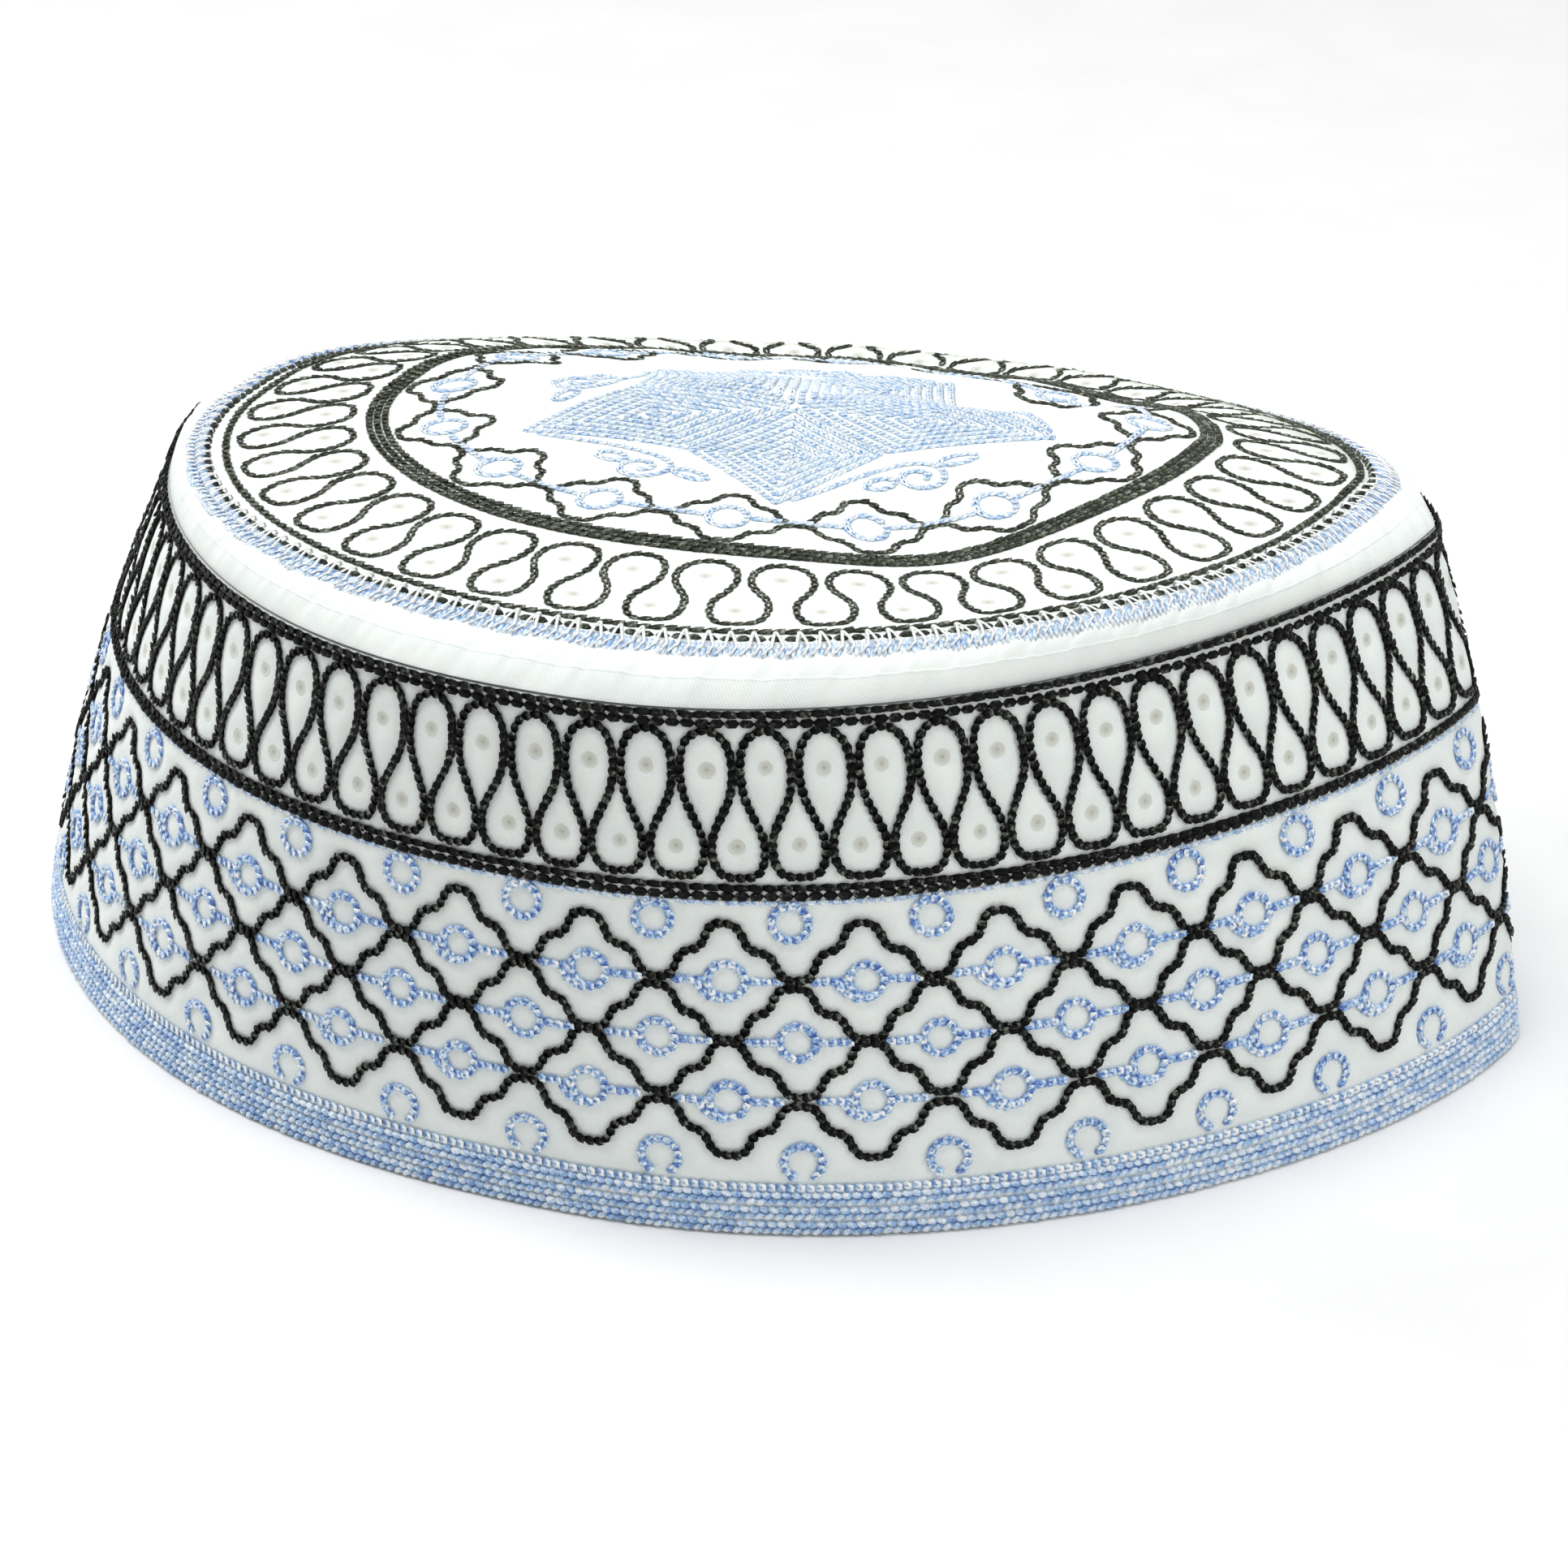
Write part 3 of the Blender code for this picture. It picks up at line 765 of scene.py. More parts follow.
def add_diamonds(black, blue):
    place, swing = net_wave(2 * DIAMONDS, 0.0)
    middle, reach = DIAMOND_OUTER
    share = place / DIAMONDS + DIAMOND_PHASE
    black.add(crown_place(middle + reach * swing + wobble(place, DIAMONDS, DIAMOND_WAVER, 51), share))
    middle, reach = DIAMOND_INNER
    arch, rise = net_wave(2, -0.5)
    shown = np.abs(arch) < DIAMOND_ARCH
    pitch = 2 * math.pi * DIAMOND_RADIUS * CROWN_SCALE / DIAMONDS
    inner = (DIAMOND_RING + DIAMOND_GAP) / pitch
    turn = np.linspace(0, 2 * math.pi, 36)
    part = np.linspace(inner, 1.0 - inner, 40)
    for diamond in range(DIAMONDS):
        share = (arch[shown] + diamond) / DIAMONDS + DIAMOND_PHASE
        black.add(crown_place(middle + reach * rise[shown], share))
        across = (diamond + DIAMOND_RING * np.cos(turn) / pitch) / DIAMONDS + DIAMOND_PHASE
        blue.add(crown_place(DIAMOND_RADIUS + DIAMOND_RING * np.sin(turn) / CROWN_SCALE, across))
        blue.add(crown_place(DIAMOND_RADIUS, (part + diamond) / DIAMONDS + DIAMOND_PHASE))


def turned(point, share):
    """A flat pattern's point (across, outward) turned to a share of the way round."""
    turn = 2 * math.pi * share
    across, outward = point[..., 0], point[..., 1]
    x = across * math.cos(turn) + outward * math.sin(turn)
    y = outward * math.cos(turn) - across * math.sin(turn)
    return x, y


def add_star(work):
    side = STAR_RADIUS / (2 * math.cos(math.pi / STAR_POINTS))
    for point in range(STAR_POINTS):
        corners = []
        for offset, reach in ((0.0, 0.0), (-0.5, side), (0.0, STAR_RADIUS), (0.5, side)):
            share = STAR_TURN + (point + offset) / STAR_POINTS
            turn = 2 * math.pi * share
            corners.append(np.array([math.sin(turn), math.cos(turn)]) * reach)
        middle = corners[2] / 2
        for row in range(STAR_ROWS):
            size = (STAR_ROWS - row - 0.45) / STAR_ROWS
            outline = [middle + (corner - middle) * size for corner in corners]
            outline.append(outline[0])
            line = along_line(np.array(outline), np.linspace(0, 1, 97) * 4 * side * size)
            work.add(flat_place(line[:, 0] + STAR_PLACE[0], line[:, 1] + STAR_PLACE[1]))


def add_curls(work):
    for point in range(STAR_POINTS):
        share = STAR_TURN + (point + 0.5) / STAR_POINTS
        turn = np.linspace(0, 2 * math.pi, 28)
        ovals = [np.stack([across + long * np.cos(turn), outward + wide * np.sin(turn)], 1)
                 for across, outward, long, wide in CURL_OVALS]
        for line in [smooth_line(CURL_LINE, CURL_STEPS)] + ovals:
            x, y = turned(line * MM / CROWN_SCALE, share)
            work.add(flat_place(x + STAR_PLACE[0], y + STAR_PLACE[1]))


# Stitches as geometry

def link_form(work):
    """One chain link: a drop-shaped loop of thread, narrow where it leaves the one before it."""
    turns, sides = LINK_TURNS, 3
    around = 2 * math.pi * (np.arange(turns) + 0.5) / turns
    along = -np.cos(around)
    radius = work.strand / 2
    reach = work.length / 2 - radius
    half = work.width / 2 - radius
    narrow = 0.66 + 0.34 * along
    middle_x = along * reach
    middle_y = np.sin(around) * half * narrow
    middle_z = radius * (1.0 + 0.6 * along)
    outward = unit(np.stack([along * half, np.sin(around) * reach], 1))
    points = []
    for k in range(sides):
        angle = 2 * math.pi * (k + 0.25) / sides
        across = radius * 1.12 * math.cos(angle)
        points.append(np.stack([middle_x + outward[:, 0] * across,
                                middle_y + outward[:, 1] * across,
                                middle_z + radius * 1.12 * math.sin(angle)], 1))
    verts = np.stack(points, 1).reshape(-1, 3)
    faces = ring_faces(turns, sides)[:, [0, 3, 2, 1]]
    shares = np.repeat(np.arange(turns) / turns, sides)
    # From 0 at the tail to 1 at the head: where the thread material puts its painted highlight
    heads = np.repeat((1.0 + along) / 2, sides)
    return verts, faces, shares, heads


def bead_form(work):
    """One short stitch that lies closed on the cloth, like a grain of rice."""
    columns, rows = BEAD_COLUMNS, 3
    turn = np.tile(2 * math.pi * np.arange(columns) / columns, rows)
    rise = np.repeat(0.5 * math.pi * np.arange(rows) / rows, columns)
    reach = np.cos(rise) ** 0.7 / 2
    verts = np.stack([np.cos(turn) * reach * work.length, np.sin(turn) * reach * work.width,
                      np.sin(rise) * work.strand], 1)
    last = rows * columns
    top = last - columns
    faces = ring_faces(rows, columns)[:top].tolist()
    faces += [(top + i, top + i + 1, top + (i + 2) % columns, last) for i in range(0, columns, 2)]
    faces += [(columns - 1, columns - 1 - i, columns - 2 - i, columns - 3 - i)
              for i in range(1, columns - 2, 2)]
    shares = np.append(np.tile(np.arange(columns) / columns, rows), 0.5)
    # Lighter towards one end of the grain: where the thread material puts its painted highlight
    heads = np.append((1.0 - np.cos(turn) * np.cos(rise)) / 2, 0.5)
    return np.vstack([verts, [0.0, 0.0, work.strand]]), np.array(faces), shares, heads


def stitches(work):
    """All stitches of one kind as points, faces and thread places."""
    form = bead_form if work.pattern == "bead" else link_form
    verts, faces, shares, heads = form(work)
    place = np.concatenate(work.places)
    normal = np.concatenate(work.normals)
    side = unit(np.cross(normal, np.concatenate(work.directions)))
    forward = unit(np.cross(side, normal))
    count = len(place)
    sway = random.normal(work.slant, STITCH_SWAY, count)[:, None]
    ahead = forward * np.cos(sway) + side * np.sin(sway)
    beside = side * np.cos(sway) - forward * np.sin(sway)
    sizes = [random.normal(1.0, spread, count) for spread in LINK_SPREADS]
    sizes[0] = sizes[0] * np.concatenate(work.stretch)
    points = (place - normal * LINK_SINK)[:, None, :]
    for axis, (direction, size) in enumerate(zip((ahead, beside, normal), sizes)):
        points = points + direction[:, None, :] * (size[:, None] * verts[:, axis])[:, :, None]
    chance = random.uniform(0, 1, count)
    thread = np.stack([np.tile(shares, count), np.tile(heads, count),
                       np.repeat(chance, len(verts))], 1)
    offsets = np.arange(count)[:, None, None] * len(verts)
    return points.reshape(-1, 3), (faces[None] + offsets).reshape(-1, 4), thread


def build(name, points, faces, thread, material, replaced=()):
    """One piece from arrays, riding on the cap."""
    points = np.array(points)
    points[:, 2] = np.maximum(points[:, 2], 0.0001)
    data = bpy.data.meshes.new(name)
    data.from_pydata(points.tolist(), [], [tuple(face) for face in faces])
    data.validate()
    data.shade_smooth()
    attribute = data.attributes.new("thread_place", "FLOAT_VECTOR", "POINT")
    attribute.data.foreach_set("vector", np.asarray(thread, np.float32).ravel())
    data.materials.append(material)
    item = bpy.data.objects.new(name, data)
    bpy.context.scene.collection.objects.link(item)
    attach(item, "root")
    if replaced:
        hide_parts(*replaced)
    return item


def build_stitches(name, works, material, replaced=()):
    points, faces, threads = [], [], []
    used = 0
    for work in works:
        p, f, t = stitches(work)
        points.append(p)
        faces.append(f + used)
        threads.append(t)
        used += len(p)
    build(name, np.concatenate(points), np.concatenate(faces).tolist(),
          np.concatenate(threads), material, replaced)


# Cloth

class Seams:
    """Finds how far any point of the cloth is from a line of stitches or an eyelet."""

    def __init__(self, works, eyelets):
        lines = [line[::2] for piece in works.values() for work in piece for line in work.seams]
        points = np.concatenate(lines + [eyelets])
        self.tree = KDTree(len(points))
        for index, point in enumerate(points):
            self.tree.insert(point, index)
        self.tree.balance()

    def distance(self, points):
        return np.array([self.tree.find(point)[2] for point in points])


def puff(far, height):
    """How far the cloth swells at a distance from the nearest stitches."""
    clear = np.maximum(0.0, far - STITCH_HALF) / PUFF_REACH
    return height * (1.0 - np.exp(-clear ** PUFF_POWER))


def ring_faces(rows, columns):
    """Faces of a closed profile swept round the cap; points are stored row by row."""
    index = np.arange(rows * columns).reshape(rows, columns)
    nxt = np.roll(index, -1, axis=1)
    above = np.roll(index, -1, axis=0)
    above_next = np.roll(above, -1, axis=1)
    return np.stack([index, nxt, above_next, above], -1).reshape(-1, 4)


def make_band_cloth(seams, material):
    columns = int(round(float(BAND_LENGTHS[0]) / CLOTH_STEP / 2)) * 2
    outer_rows = int(round(BAND_SLANT * BAND_TOP / CLOTH_STEP))
    column = np.arange(columns) / columns
    outside = [(row / outer_rows, True) for row in range(outer_rows + 1)]
    inside = [(1.0 - row / LINING_ROWS, False) for row in range(LINING_ROWS + 1)]
    across = column * float(BAND_LENGTHS.mean())
    rows = []
    cloth = []
    for share, quilted in outside + inside:
        points = sample(BAND_POINTS, column, np.full(columns, share))
        normals = unit(sample(BAND_NORMALS, column, np.full(columns, share)))
        lift = np.full(columns, -BAND_THICKNESS)
        if quilted:
            edge = min(1.0, share * FLAT_FOOT) * min(1.0, (1 - share) * FLAT_HEAD)
            lift = puff(seams.distance(points), PUFF_BAND) * edge
        rows.append(points + normals * lift[:, None])
        cloth.append(np.stack([across, np.full(columns, share * BAND_SLANT), 0 * column], 1))
    piece = build("side_band_cloth", np.concatenate(rows), ring_faces(len(rows), columns).tolist(),
                  np.concatenate(cloth), material, ["side_band"])


def make_shoulder_cloth(material):
    """The gathered strip: fine puckers and a thin seam that runs along it."""
    column = np.arange(SHOULDER_COLUMNS) / SHOULDER_COLUMNS
    length = float(BAND_LENGTHS[-1])
    seam_part, seam_height = SEAM_RIDGE
    ridge = SHOULDER_SEAM + seam_part * np.array([-2.0, -1.0, 0.0, 1.0, 2.0])
    even = np.linspace(0.0, 1.0, 15)
    even = even[np.abs(even - SHOULDER_SEAM) > 2.5 * seam_part]
    rows = []
    places = []
    for part in np.sort(np.concatenate([even, ridge, [0.012]])):
        gather = sum(height * np.sin(2 * math.pi * round(length / pitch) * column + drift * part + start)
                     for pitch, height, drift, start in GATHERS)
        gather = gather * math.sin(math.pi * part) ** 0.6 * (0.5 + 1.8 * part)
        seam = seam_height * max(0.0, 1.0 - abs(part - SHOULDER_SEAM) / seam_part)
        points, _ = shoulder_place(column, np.full(SHOULDER_COLUMNS, part), (gather + seam) * MM)
        rows.append(points)
        places.append(np.stack([column * length, np.full(SHOULDER_COLUMNS, part * 0.008), 0 * column], 1))
    feet, slope, _ = shoulder_frame(column)
    rows.append(feet + slope - np.array([0, 0, SHOULDER_THICKNESS]))
    inward = -unit(sample(BAND_NORMALS, column, np.ones(SHOULDER_COLUMNS)) * np.array([1, 1, 0]))
    rows.append(feet + inward * (BAND_THICKNESS + GAP))
    places += [places[-1], places[0]]
    faces = ring_faces(len(rows), SHOULDER_COLUMNS).tolist()
    piece = build("shoulder_cloth", np.concatenate(rows), faces, np.concatenate(places), material,
                  ["shoulder_band"])


def disc_rings():
    """Radius and number of columns of each ring of the crown's cloth, from the middle out."""
    count = int(round(CROWN_SCALE / CLOTH_STEP))
    rings = []
    for ring in range(1, count + 1):
        radius = ring / count
        rings.append((radius, next(columns for within, columns in DISC_COLUMNS if radius < within)))
    return rings


def disc_faces(rings, first, centre):
    """Faces between rings, where a ring may have the same, twice or half the columns."""
    faces = []
    starts = [first]
    for _, columns in rings:
        starts.append(starts[-1] + columns)
    for k in range(len(rings) - 1):
        a, b = rings[k][1], rings[k + 1][1]
        low, high = starts[k], starts[k + 1]
        if a == b:
            faces += [(low + i, high + i, high + (i + 1) % a, low + (i + 1) % a) for i in range(a)]
        else:
            few, many = (a, b) if a < b else (b, a)
            few_start, many_start = (low, high) if a < b else (high, low)
            for i in range(few):
                j = (i + 1) % few
                face = (few_start + i, many_start + 2 * i, many_start + 2 * i + 1,
                        many_start + (2 * i + 2) % many, few_start + j)
                faces.append(face if a < b else face[::-1])
    inner = 0 if rings[0][0] < rings[-1][0] else len(rings) - 1
    columns = rings[inner][1]
    for i in range(columns):
        fan = (centre, starts[inner] + i, starts[inner] + (i + 1) % columns)
        faces.append(fan if inner == 0 else fan[::-1])
    return faces


def far_edge_painted_shade(radius, share):
    """How strongly painted shade greys the cloth towards the crown's edge at the back."""
    backward = np.clip(-SHADE_WIDTH * np.cos(2 * math.pi * share), 0.0, 1.0)
    return backward * min(1.0, max(0.0, (radius - SHADE_START) / SHADE_REACH))


def make_crown_cloth(seams, material):
    points = [crown_place(np.array([0.0]), np.array([0.0]))[0]]
    shades = [np.zeros(1)]
    top = disc_rings()
    for radius, columns in top:
        share = round_value(EDGE_SHARES, np.arange(columns) / columns)
        place, normals = crown_place(np.full(columns, radius), share)
        far = seams.distance(place)
        swell = puff(far, PUFF_CROWN) * min(1.0, (1.0 - radius) * 40)
        points.append(place + normals * swell[:, None])
        shades.append(far_edge_painted_shade(radius, share))
    faces = disc_faces(top, 1, 0)
    used = sum(len(p) for p in points)
    last, columns = LINING_EDGE[-1]
    below = list(LINING_EDGE) + [(last - LINING_STEP * i, columns) for i in range(1, LINING_RINGS)]
    for radius, columns in below:
        share = round_value(EDGE_SHARES, np.arange(columns) / columns)
        rim_part = min(1.0, (1.0 - radius) / 0.15)
        thickness = CROWN_EDGE_THICKNESS + (CROWN_THICKNESS - CROWN_EDGE_THICKNESS) * rim_part
        points.append(crown_point(np.full(columns, radius), share) - [0, 0, thickness])
        shades.append(np.zeros(columns))
    points.append(crown_point(np.array([0.0]), np.array([0.0])) - [0, 0, CROWN_THICKNESS])
    shades.append(np.zeros(1))
    total = sum(len(p) for p in points)
    faces += disc_faces(below, used, total - 1)
    columns = top[-1][1]
    rim = used - columns
    faces += [(rim + i, used + i, used + (i + 1) % columns, rim + (i + 1) % columns)
              for i in range(columns)]
    places = np.concatenate(points)
    cloth = places * [1, 1, 0]
    # The cloth's third value carries the painted shade of the far edge
    cloth[:, 2] = np.concatenate(shades)
    piece = build("crown_cloth", places, faces, cloth, material, ["crown"])


def scattered(count, phase, spots, rise):
    """Shares of the way round, and heights or radii, of the eyelets beside every loop."""
    ways, heights = [], []
    for loop in range(count):
        for shift, height in spots:
            ways.append((loop + shift + random.normal(0, EYELET_SHIFT)) / count + phase)
            heights.append(height + random.normal(0, rise))
    return np.array(ways), np.array(heights)


def eyelet_places():
    """Places and normals of every eyelet: those of the band, then those of the crown."""
    ways, heights = scattered(LOOPS, LOOP_PHASE, BAND_EYELETS, EYELET_RISES[0])
    shares, radii = scattered(CROWN_LOOPS, CROWN_LOOP_PHASE, CROWN_EYELETS, EYELET_RISES[1])
    return band_place(ways, heights), crown_place(radii, shares)


def make_eyelets(places, material):
    """Small worked holes: a low ring of thread round a shallow middle; the hole is not cut, and its
    darkness is painted shade in the eyelet material.
    """
    columns = EYELET_COLUMNS
    turn = 2 * math.pi * np.arange(columns) / columns
    middle = len(EYELET_PROFILE) * columns
    form = ring_faces(len(EYELET_PROFILE), columns)[:middle - columns].tolist()
    form += [(middle - columns + i, middle - columns + (i + 1) % columns, middle)
             for i in range(columns)]
    points, faces, threads = [], [], []
    for spot, normal in [pair for group in places for pair in zip(*group)]:
        level = [0.0, 0.0, 1.0] if abs(normal[2]) < 0.9 else [1.0, 0.0, 0.0]
        first = unit(np.cross(normal, level))
        second = np.cross(normal, first)
        size = EYELET_RADIUS * random.uniform(*EYELET_SIZES)
        squeeze = random.uniform(*EYELET_SQUEEZES)
        ring = np.outer(np.cos(turn) * squeeze, first) + np.outer(np.sin(turn), second)
        faces += [tuple(len(points) + i for i in face) for face in form]
        for reach, height in EYELET_PROFILE:
            points += list(spot + normal * height * size + ring * reach * size)
            # Each point carries its reach, by which the eyelet material paints shade towards the middle
            threads += [(k / columns, reach, random.uniform(0, 1)) for k in range(columns)]
        points.append(spot + normal * EYELET_MIDDLE * size)
        threads.append((0.5, 0.0, 0.5))
    build("eyelets", np.array(points), faces, np.array(threads), material)


def tube_points(line, wide, high):
    """A closed thin flat thread through a few points."""
    sides = TUBE_SIDES
    points = []
    for i, point in enumerate(line):
        ahead = line[min(i + 1, len(line) - 1)] - line[max(i - 1, 0)]
        ahead = ahead / np.linalg.norm(ahead)
        across = np.cross(ahead, [0.0, 0.0, 1.0])
        across = across / np.linalg.norm(across)
        up = np.cross(across, ahead)
        for k in range(sides):
            turn = 2 * math.pi * k / sides
            points.append(point + across * math.cos(turn) * wide + up * math.sin(turn) * high)
    faces = ring_faces(len(line), sides)[:-sides].tolist()
    faces.append(tuple(range(sides))[::-1])
    last = (len(line) - 1) * sides
    faces.append(tuple(last + k for k in range(sides)))
    return points, faces


def make_zigzag(material):
    """White thread thrown over the blue edge, from between the black rows to the strip."""
    teeth = int(round(float(distances(closed(EDGE_POINTS))[-1]) / ZIGZAG_PITCH))
    parts, lifts = np.array(ZIGZAG_PROFILE).T
    points, faces, threads = [], [], []
    for tooth in range(teeth):
        apex = tooth + random.normal(0, ZIGZAG_SHIFT)
        for reach in ZIGZAG_LEGS:
            foot = tooth + reach + random.normal(0, ZIGZAG_SHIFT)
            columns = (apex + (foot - apex) * np.append(parts * 0.75, 1.0)) / teeth
            shares = round_value(EDGE_SHARES, columns)
            gap = smooth_round(DOUBLE_CORD_GAPS, shares[:1])
            top = DOUBLE_CORD_ROW + smooth_round(ZIGZAG_TOPS, shares[:1]) * gap
            radii = top + (1.0 - top) * parts
            line = crown_place(radii, shares[:-1], lifts[:, None])[0]
            line = np.vstack([line, shoulder_place(columns[-1:], np.array([0.87]), 0.00030)[0]])
            p, f = tube_points(line, *ZIGZAG_THREAD)
            faces += [tuple(len(points) + i for i in face) for face in f]
            chance = random.uniform(0, 1)
            # The second value goes round the thread, so the material's painted highlight lightens it
            # towards one side
            threads += [(i // TUBE_SIDES / len(line), i % TUBE_SIDES / TUBE_SIDES, chance)
                        for i in range(len(p))]
            points += p
    build("white_overcast", np.array(points), faces, np.array(threads), material)


# Materials

def new_material(name, colour, roughness, sockets):
    made = bpy.data.materials.new(name)
    made.use_nodes = True
    shader = made.node_tree.nodes["Principled BSDF"]
    shader.inputs["Base Color"].default_value = (*colour, 1.0)
    shader.inputs["Roughness"].default_value = roughness
    for socket, value in sockets.items():
        shader.inputs[socket].default_value = value
    return made, made.node_tree, shader


def maths(tree, operation, *terms):
    """A maths node, whose terms are sockets or numbers."""
    made = tree.nodes.new("ShaderNodeMath")
    made.operation = operation
    for socket, term in zip(made.inputs, terms):
        if isinstance(term, float):
            socket.default_value = term
        else:
            tree.links.new(term, socket)
    return made.outputs[0]


def thread_place(tree):
    """The three values that each point of a piece carries."""
    place = tree.nodes.new("ShaderNodeAttribute")
    place.attribute_name = "thread_place"
    split = tree.nodes.new("ShaderNodeSeparateXYZ")
    tree.links.new(place.outputs["Vector"], split.inputs[0])
    return split.outputs


def noise(tree, scale, detail):
    texture = tree.nodes.new("ShaderNodeTexCoord")
    made = tree.nodes.new("ShaderNodeTexNoise")
    made.inputs["Scale"].default_value = scale
    made.inputs["Detail"].default_value = detail
    tree.links.new(texture.outputs["Object"], made.inputs["Vector"])
    return made.outputs["Fac"]


def ramp(tree, source, stops):
    made = tree.nodes.new("ShaderNodeValToRGB")
    elements = made.color_ramp.elements
    while len(elements) < len(stops):
        elements.new(0.5)
    for element, (place, colour) in zip(elements, stops):
        element.position = place
        element.color = (*colour, 1.0)
    tree.links.new(source, made.inputs["Fac"])
    return made.outputs["Color"]


def relief(tree, height, measures, below=None):
    """A bump from a height, on top of another bump where one is given."""
    made = tree.nodes.new("ShaderNodeBump")
    made.inputs["Strength"].default_value, made.inputs["Distance"].default_value = measures
    tree.links.new(height, made.inputs["Height"])
    if below:
        tree.links.new(below, made.inputs["Normal"])
    return made.outputs["Normal"]


def thread_material(name, stops, roughness, sheen, specular, coat, head, mottle):
    """Twisted thread: fine plies, and a painted highlight that makes it lighter at the head of a stitch
    than at its tail.
    """
    made, tree, shader = new_material(name, stops[0][1], roughness, {
        "Sheen Weight": sheen, "Sheen Roughness": 0.4, "Specular IOR Level": specular,
        "Coat Weight": coat})
    place = thread_place(tree)
    fibres = noise(tree, FIBRE_SCALE, 2.0)
    chance = maths(tree, "MULTIPLY_ADD", place["Z"], 0.25, 0.375 - (mottle + head) / 2)
    # Painted highlight: the tone rises towards a stitch's head by the head amount, towards the lighter
    # stops
    tone = maths(tree, "MULTIPLY_ADD", place["Y"], head, chance)
    tone = maths(tree, "MULTIPLY_ADD", fibres, mottle, tone)
    tree.links.new(ramp(tree, tone, stops), shader.inputs["Base Color"])
    twist = maths(tree, "MULTIPLY_ADD", place["X"], TWISTS, place["Y"])
    wave = maths(tree, "SINE", maths(tree, "MULTIPLY", twist, 2 * math.pi))
    plies = relief(tree, wave, PLY_RELIEF)
    tree.links.new(relief(tree, fibres, FIBRE_RELIEF, plies), shader.inputs["Normal"])
    return made


def eyelet_material():
    """Thread round a hole: near white outside, with painted shade darkening it towards the sunken middle,
    where the hole's shadow would be.
    """
    made, tree, shader = new_material("eyelet_thread", (0.5, 0.48, 0.42), 0.7, {"Sheen Weight": 0.2})
    fibres = noise(tree, EYELET_FIBRE_SCALE, 2.0)
    # Painted shade: darker towards the middle, by each point's reach
    outward = maths(tree, "MULTIPLY", thread_place(tree)["Y"], 0.7)
    tone = maths(tree, "MULTIPLY_ADD", fibres, 0.2, outward)
    tree.links.new(ramp(tree, tone, EYELET_TONES_WITH_PAINTED_SHADE), shader.inputs["Base Color"])
    tree.links.new(relief(tree, fibres, EYELET_RELIEF), shader.inputs["Normal"])
    return made


def cotton_material():
    """Plain woven white cotton, softly mottled, and greyed by painted shade towards the crown's far edge
    at the back.
    """
    made, tree, shader = new_material("white_cotton_cloth", (0.82, 0.86, 0.835), 0.85, {
        "Sheen Weight": 0.1, "Sheen Roughness": 0.5, "Specular IOR Level": 0.2})
    place = thread_place(tree)
    waves = [maths(tree, "SINE", maths(tree, "MULTIPLY", place[axis], 2 * math.pi / WEAVE_PITCH))
             for axis in ("X", "Y")]
    weave = relief(tree, maths(tree, "MULTIPLY", *waves), WEAVE_RELIEF)
    slubs = relief(tree, noise(tree, SLUB_SCALE, 2.0), SLUB_RELIEF, weave)
    tree.links.new(slubs, shader.inputs["Normal"])
    # Painted shade: the far edge's grey, mixed in by the cloth's third value
    shade = tree.nodes.new("ShaderNodeMixRGB")
    shade.blend_type = "MULTIPLY"
    shade.inputs["Color2"].default_value = FAR_EDGE_PAINTED_SHADE
    tree.links.new(place["Z"], shade.inputs["Fac"])
    tree.links.new(ramp(tree, noise(tree, COTTON_SCALE, 3.0), COTTON_TONES), shade.inputs["Color1"])
    tree.links.new(shade.outputs["Color"], shader.inputs["Base Color"])
    return made


def floor_material():
    made, tree, shader = new_material("floor_paper", (0.79, 0.79, 0.79), 0.9, {"Specular IOR Level": 0.1})
    tree.links.new(ramp(tree, noise(tree, FLOOR_SCALE, 4.0), FLOOR_TONES), shader.inputs["Base Color"])
    return made


# Stage

def add_light(name, place, power):
    data = bpy.data.lights.new(name, "AREA")
    data.shape = "DISK"
    data.size = LIGHT_SIZE
    data.energy = power
    lamp = bpy.data.objects.new(name, data)
    bpy.context.scene.collection.objects.link(lamp)
    lamp.location = place
    aim = Vector(LIGHT_AIM) - Vector(place)
    lamp.rotation_mode = "QUATERNION"
    lamp.rotation_quaternion = aim.to_track_quat("-Z", "Y")


def make_stage():
    data = bpy.data.meshes.new("floor")
    corners = [(x * FLOOR_REACH, y * FLOOR_REACH, 0) for x, y in ((-1, -1), (1, -1), (1, 1), (-1, 1))]
    data.from_pydata(corners, [], [(0, 1, 2, 3)])
    floor = bpy.data.objects.new("floor", data)
    bpy.context.scene.collection.objects.link(floor)
    data.materials.append(floor_material())
    world = bpy.data.worlds.new("studio")
    world.use_nodes = True
    background = world.node_tree.nodes["Background"]
    background.inputs["Color"].default_value = (1.0, 1.0, 1.0, 1.0)
    background.inputs["Strength"].default_value = WORLD_STRENGTH
    bpy.context.scene.world = world
    for light in LIGHTS:
        add_light(*light)
    bpy.context.scene.view_settings.view_transform = "Standard"


# The whole cap

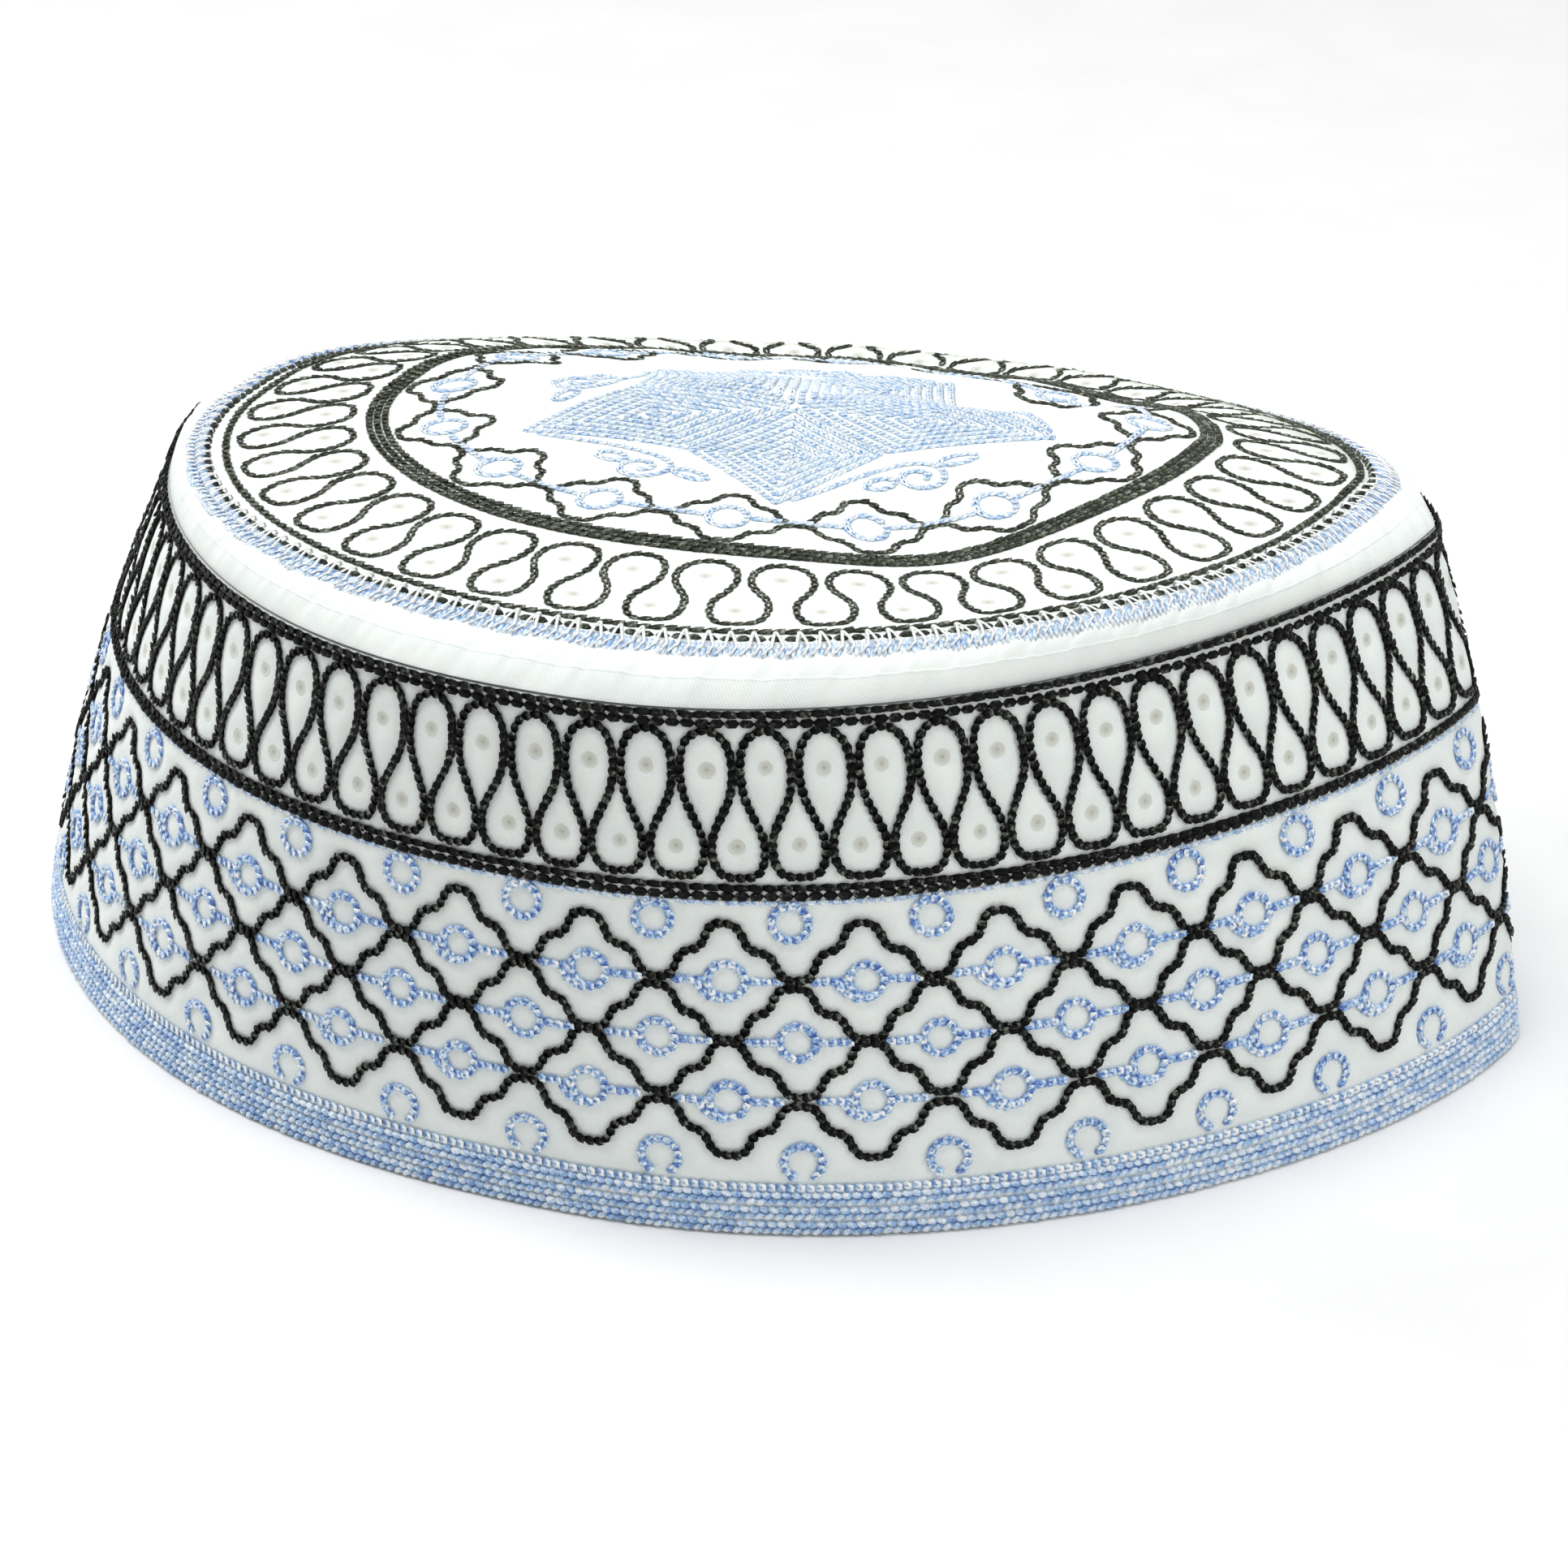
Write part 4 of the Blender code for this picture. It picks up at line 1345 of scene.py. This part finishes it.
def band_works():
    """The band's stitches by piece."""
    works = {name: [Work(CORD_LINK), Work(BEAD, "bead")] for name in ("upper_cord", "lower_cord")}
    cord, beads = works["upper_cord"]
    cord.add(level_line(UPPER_CORD_ROW, seed=2, lift=UPPER_CORD_LIFT))
    beads.add(level_line(UPPER_CORD_ROW, (UPPER_CORD_GAPS,), seed=2))
    cord, beads = works["lower_cord"]
    cord.add(level_line(LOWER_CORD_ROW, seed=3))
    beads.add(level_line(LOWER_CORD_ROW, (LOWER_CORD_GAPS,), seed=3))
    loops, net, rings = Work(FINE_LINK), Work(NET_LINK), Work(BLUE_LINK)
    loops.add(band_place(*loop_strand(LOOP_STRAND, LOOPS, LOOP_PHASE, LOOP_WAVERS, 11)))
    add_net(net)
    add_rings(rings)
    works.update({"loop": [loops], "net": [net], "ring": [rings]})
    works["rim"] = [Work(BLUE_LINK)] + [Work(GRAIN, "bead", slant) for _, slant in RIM_GRAINS]
    works["rim"][0].add(level_line(RIM_SMALL_ROW, seed=5))
    for row, height in enumerate(RIM_WIDE_ROWS):
        for side, (offset, _) in enumerate(RIM_GRAINS):
            line = level_line(height + offset, waver=RIM_WAVER, seed=6)
            works["rim"][side + 1].add(line, start=0.5 - 0.23 * row + 0.5 * side)
    return works


def crown_works():
    """The crown's stitches by piece."""
    loops, diamonds, blue, star = Work(CROWN_LINK), Work(CROWN_LINK), Work(STAR_LINK), Work(STAR_LINK)
    shares, radii = loop_strand(CROWN_STRAND, CROWN_LOOPS, CROWN_LOOP_PHASE, CROWN_LOOP_WAVERS, 41)
    loops.add(crown_place(radii, shares))
    add_diamonds(diamonds, blue)
    add_curls(blue)
    add_star(star)
    rope = Work(ROPE_LINK)
    for row, radius in enumerate(RING_CORD_ROWS):
        rope.add(crown_level_line(radius, seed=7), start=0.5 - 0.4 * row)
    cord, dashes = Work(CROWN_CORD_LINK), Work(DASH, "bead")
    cord.add(crown_level_line(DOUBLE_CORD_ROW, seed=8))
    dashes.add(crown_level_line(DOUBLE_CORD_ROW, (DOUBLE_CORD_GAPS,), seed=8))
    braid = Work(OVERCAST, "bead", OVERCAST_SLANT)
    braid.add(crown_level_line(EDGE_BRAID_RADIUS, seed=9))
    braid.add(strip_line(EDGE_BRAID_FOOT))
    return {"crown_loop": [loops, diamonds], "crown_blue": [blue], "star": [star],
            "ring_cord": [rope], "double_cord": [cord, dashes], "edge_braid": [braid]}


def main():
    make_camera()
    make_stage()
    cotton = cotton_material()
    threads = {name: thread_material(name, *values) for name, values in THREADS.items()}
    on_band = band_works()
    on_crown = crown_works()
    places = eyelet_places()
    make_band_cloth(Seams(on_band, places[0][0]), cotton)
    make_shoulder_cloth(cotton)
    make_crown_cloth(Seams(on_crown, places[1][0]), cotton)
    thin_blue = Work(THIN_LINK)
    thin_blue.add(level_line(LOWER_CORD_ROW, (LOWER_CORD_GAPS, THIN_BLUE_GAPS), seed=3))
    works = {"thin_blue": [thin_blue], **on_band, **on_crown}
    for name, thread, replaced in STITCHED:
        build_stitches(name + "_stitches", works[name], threads[thread],
                       [replaced] if replaced else [])
    make_eyelets(places, eyelet_material())
    make_zigzag(threads["white_thread_stitches"])


main()
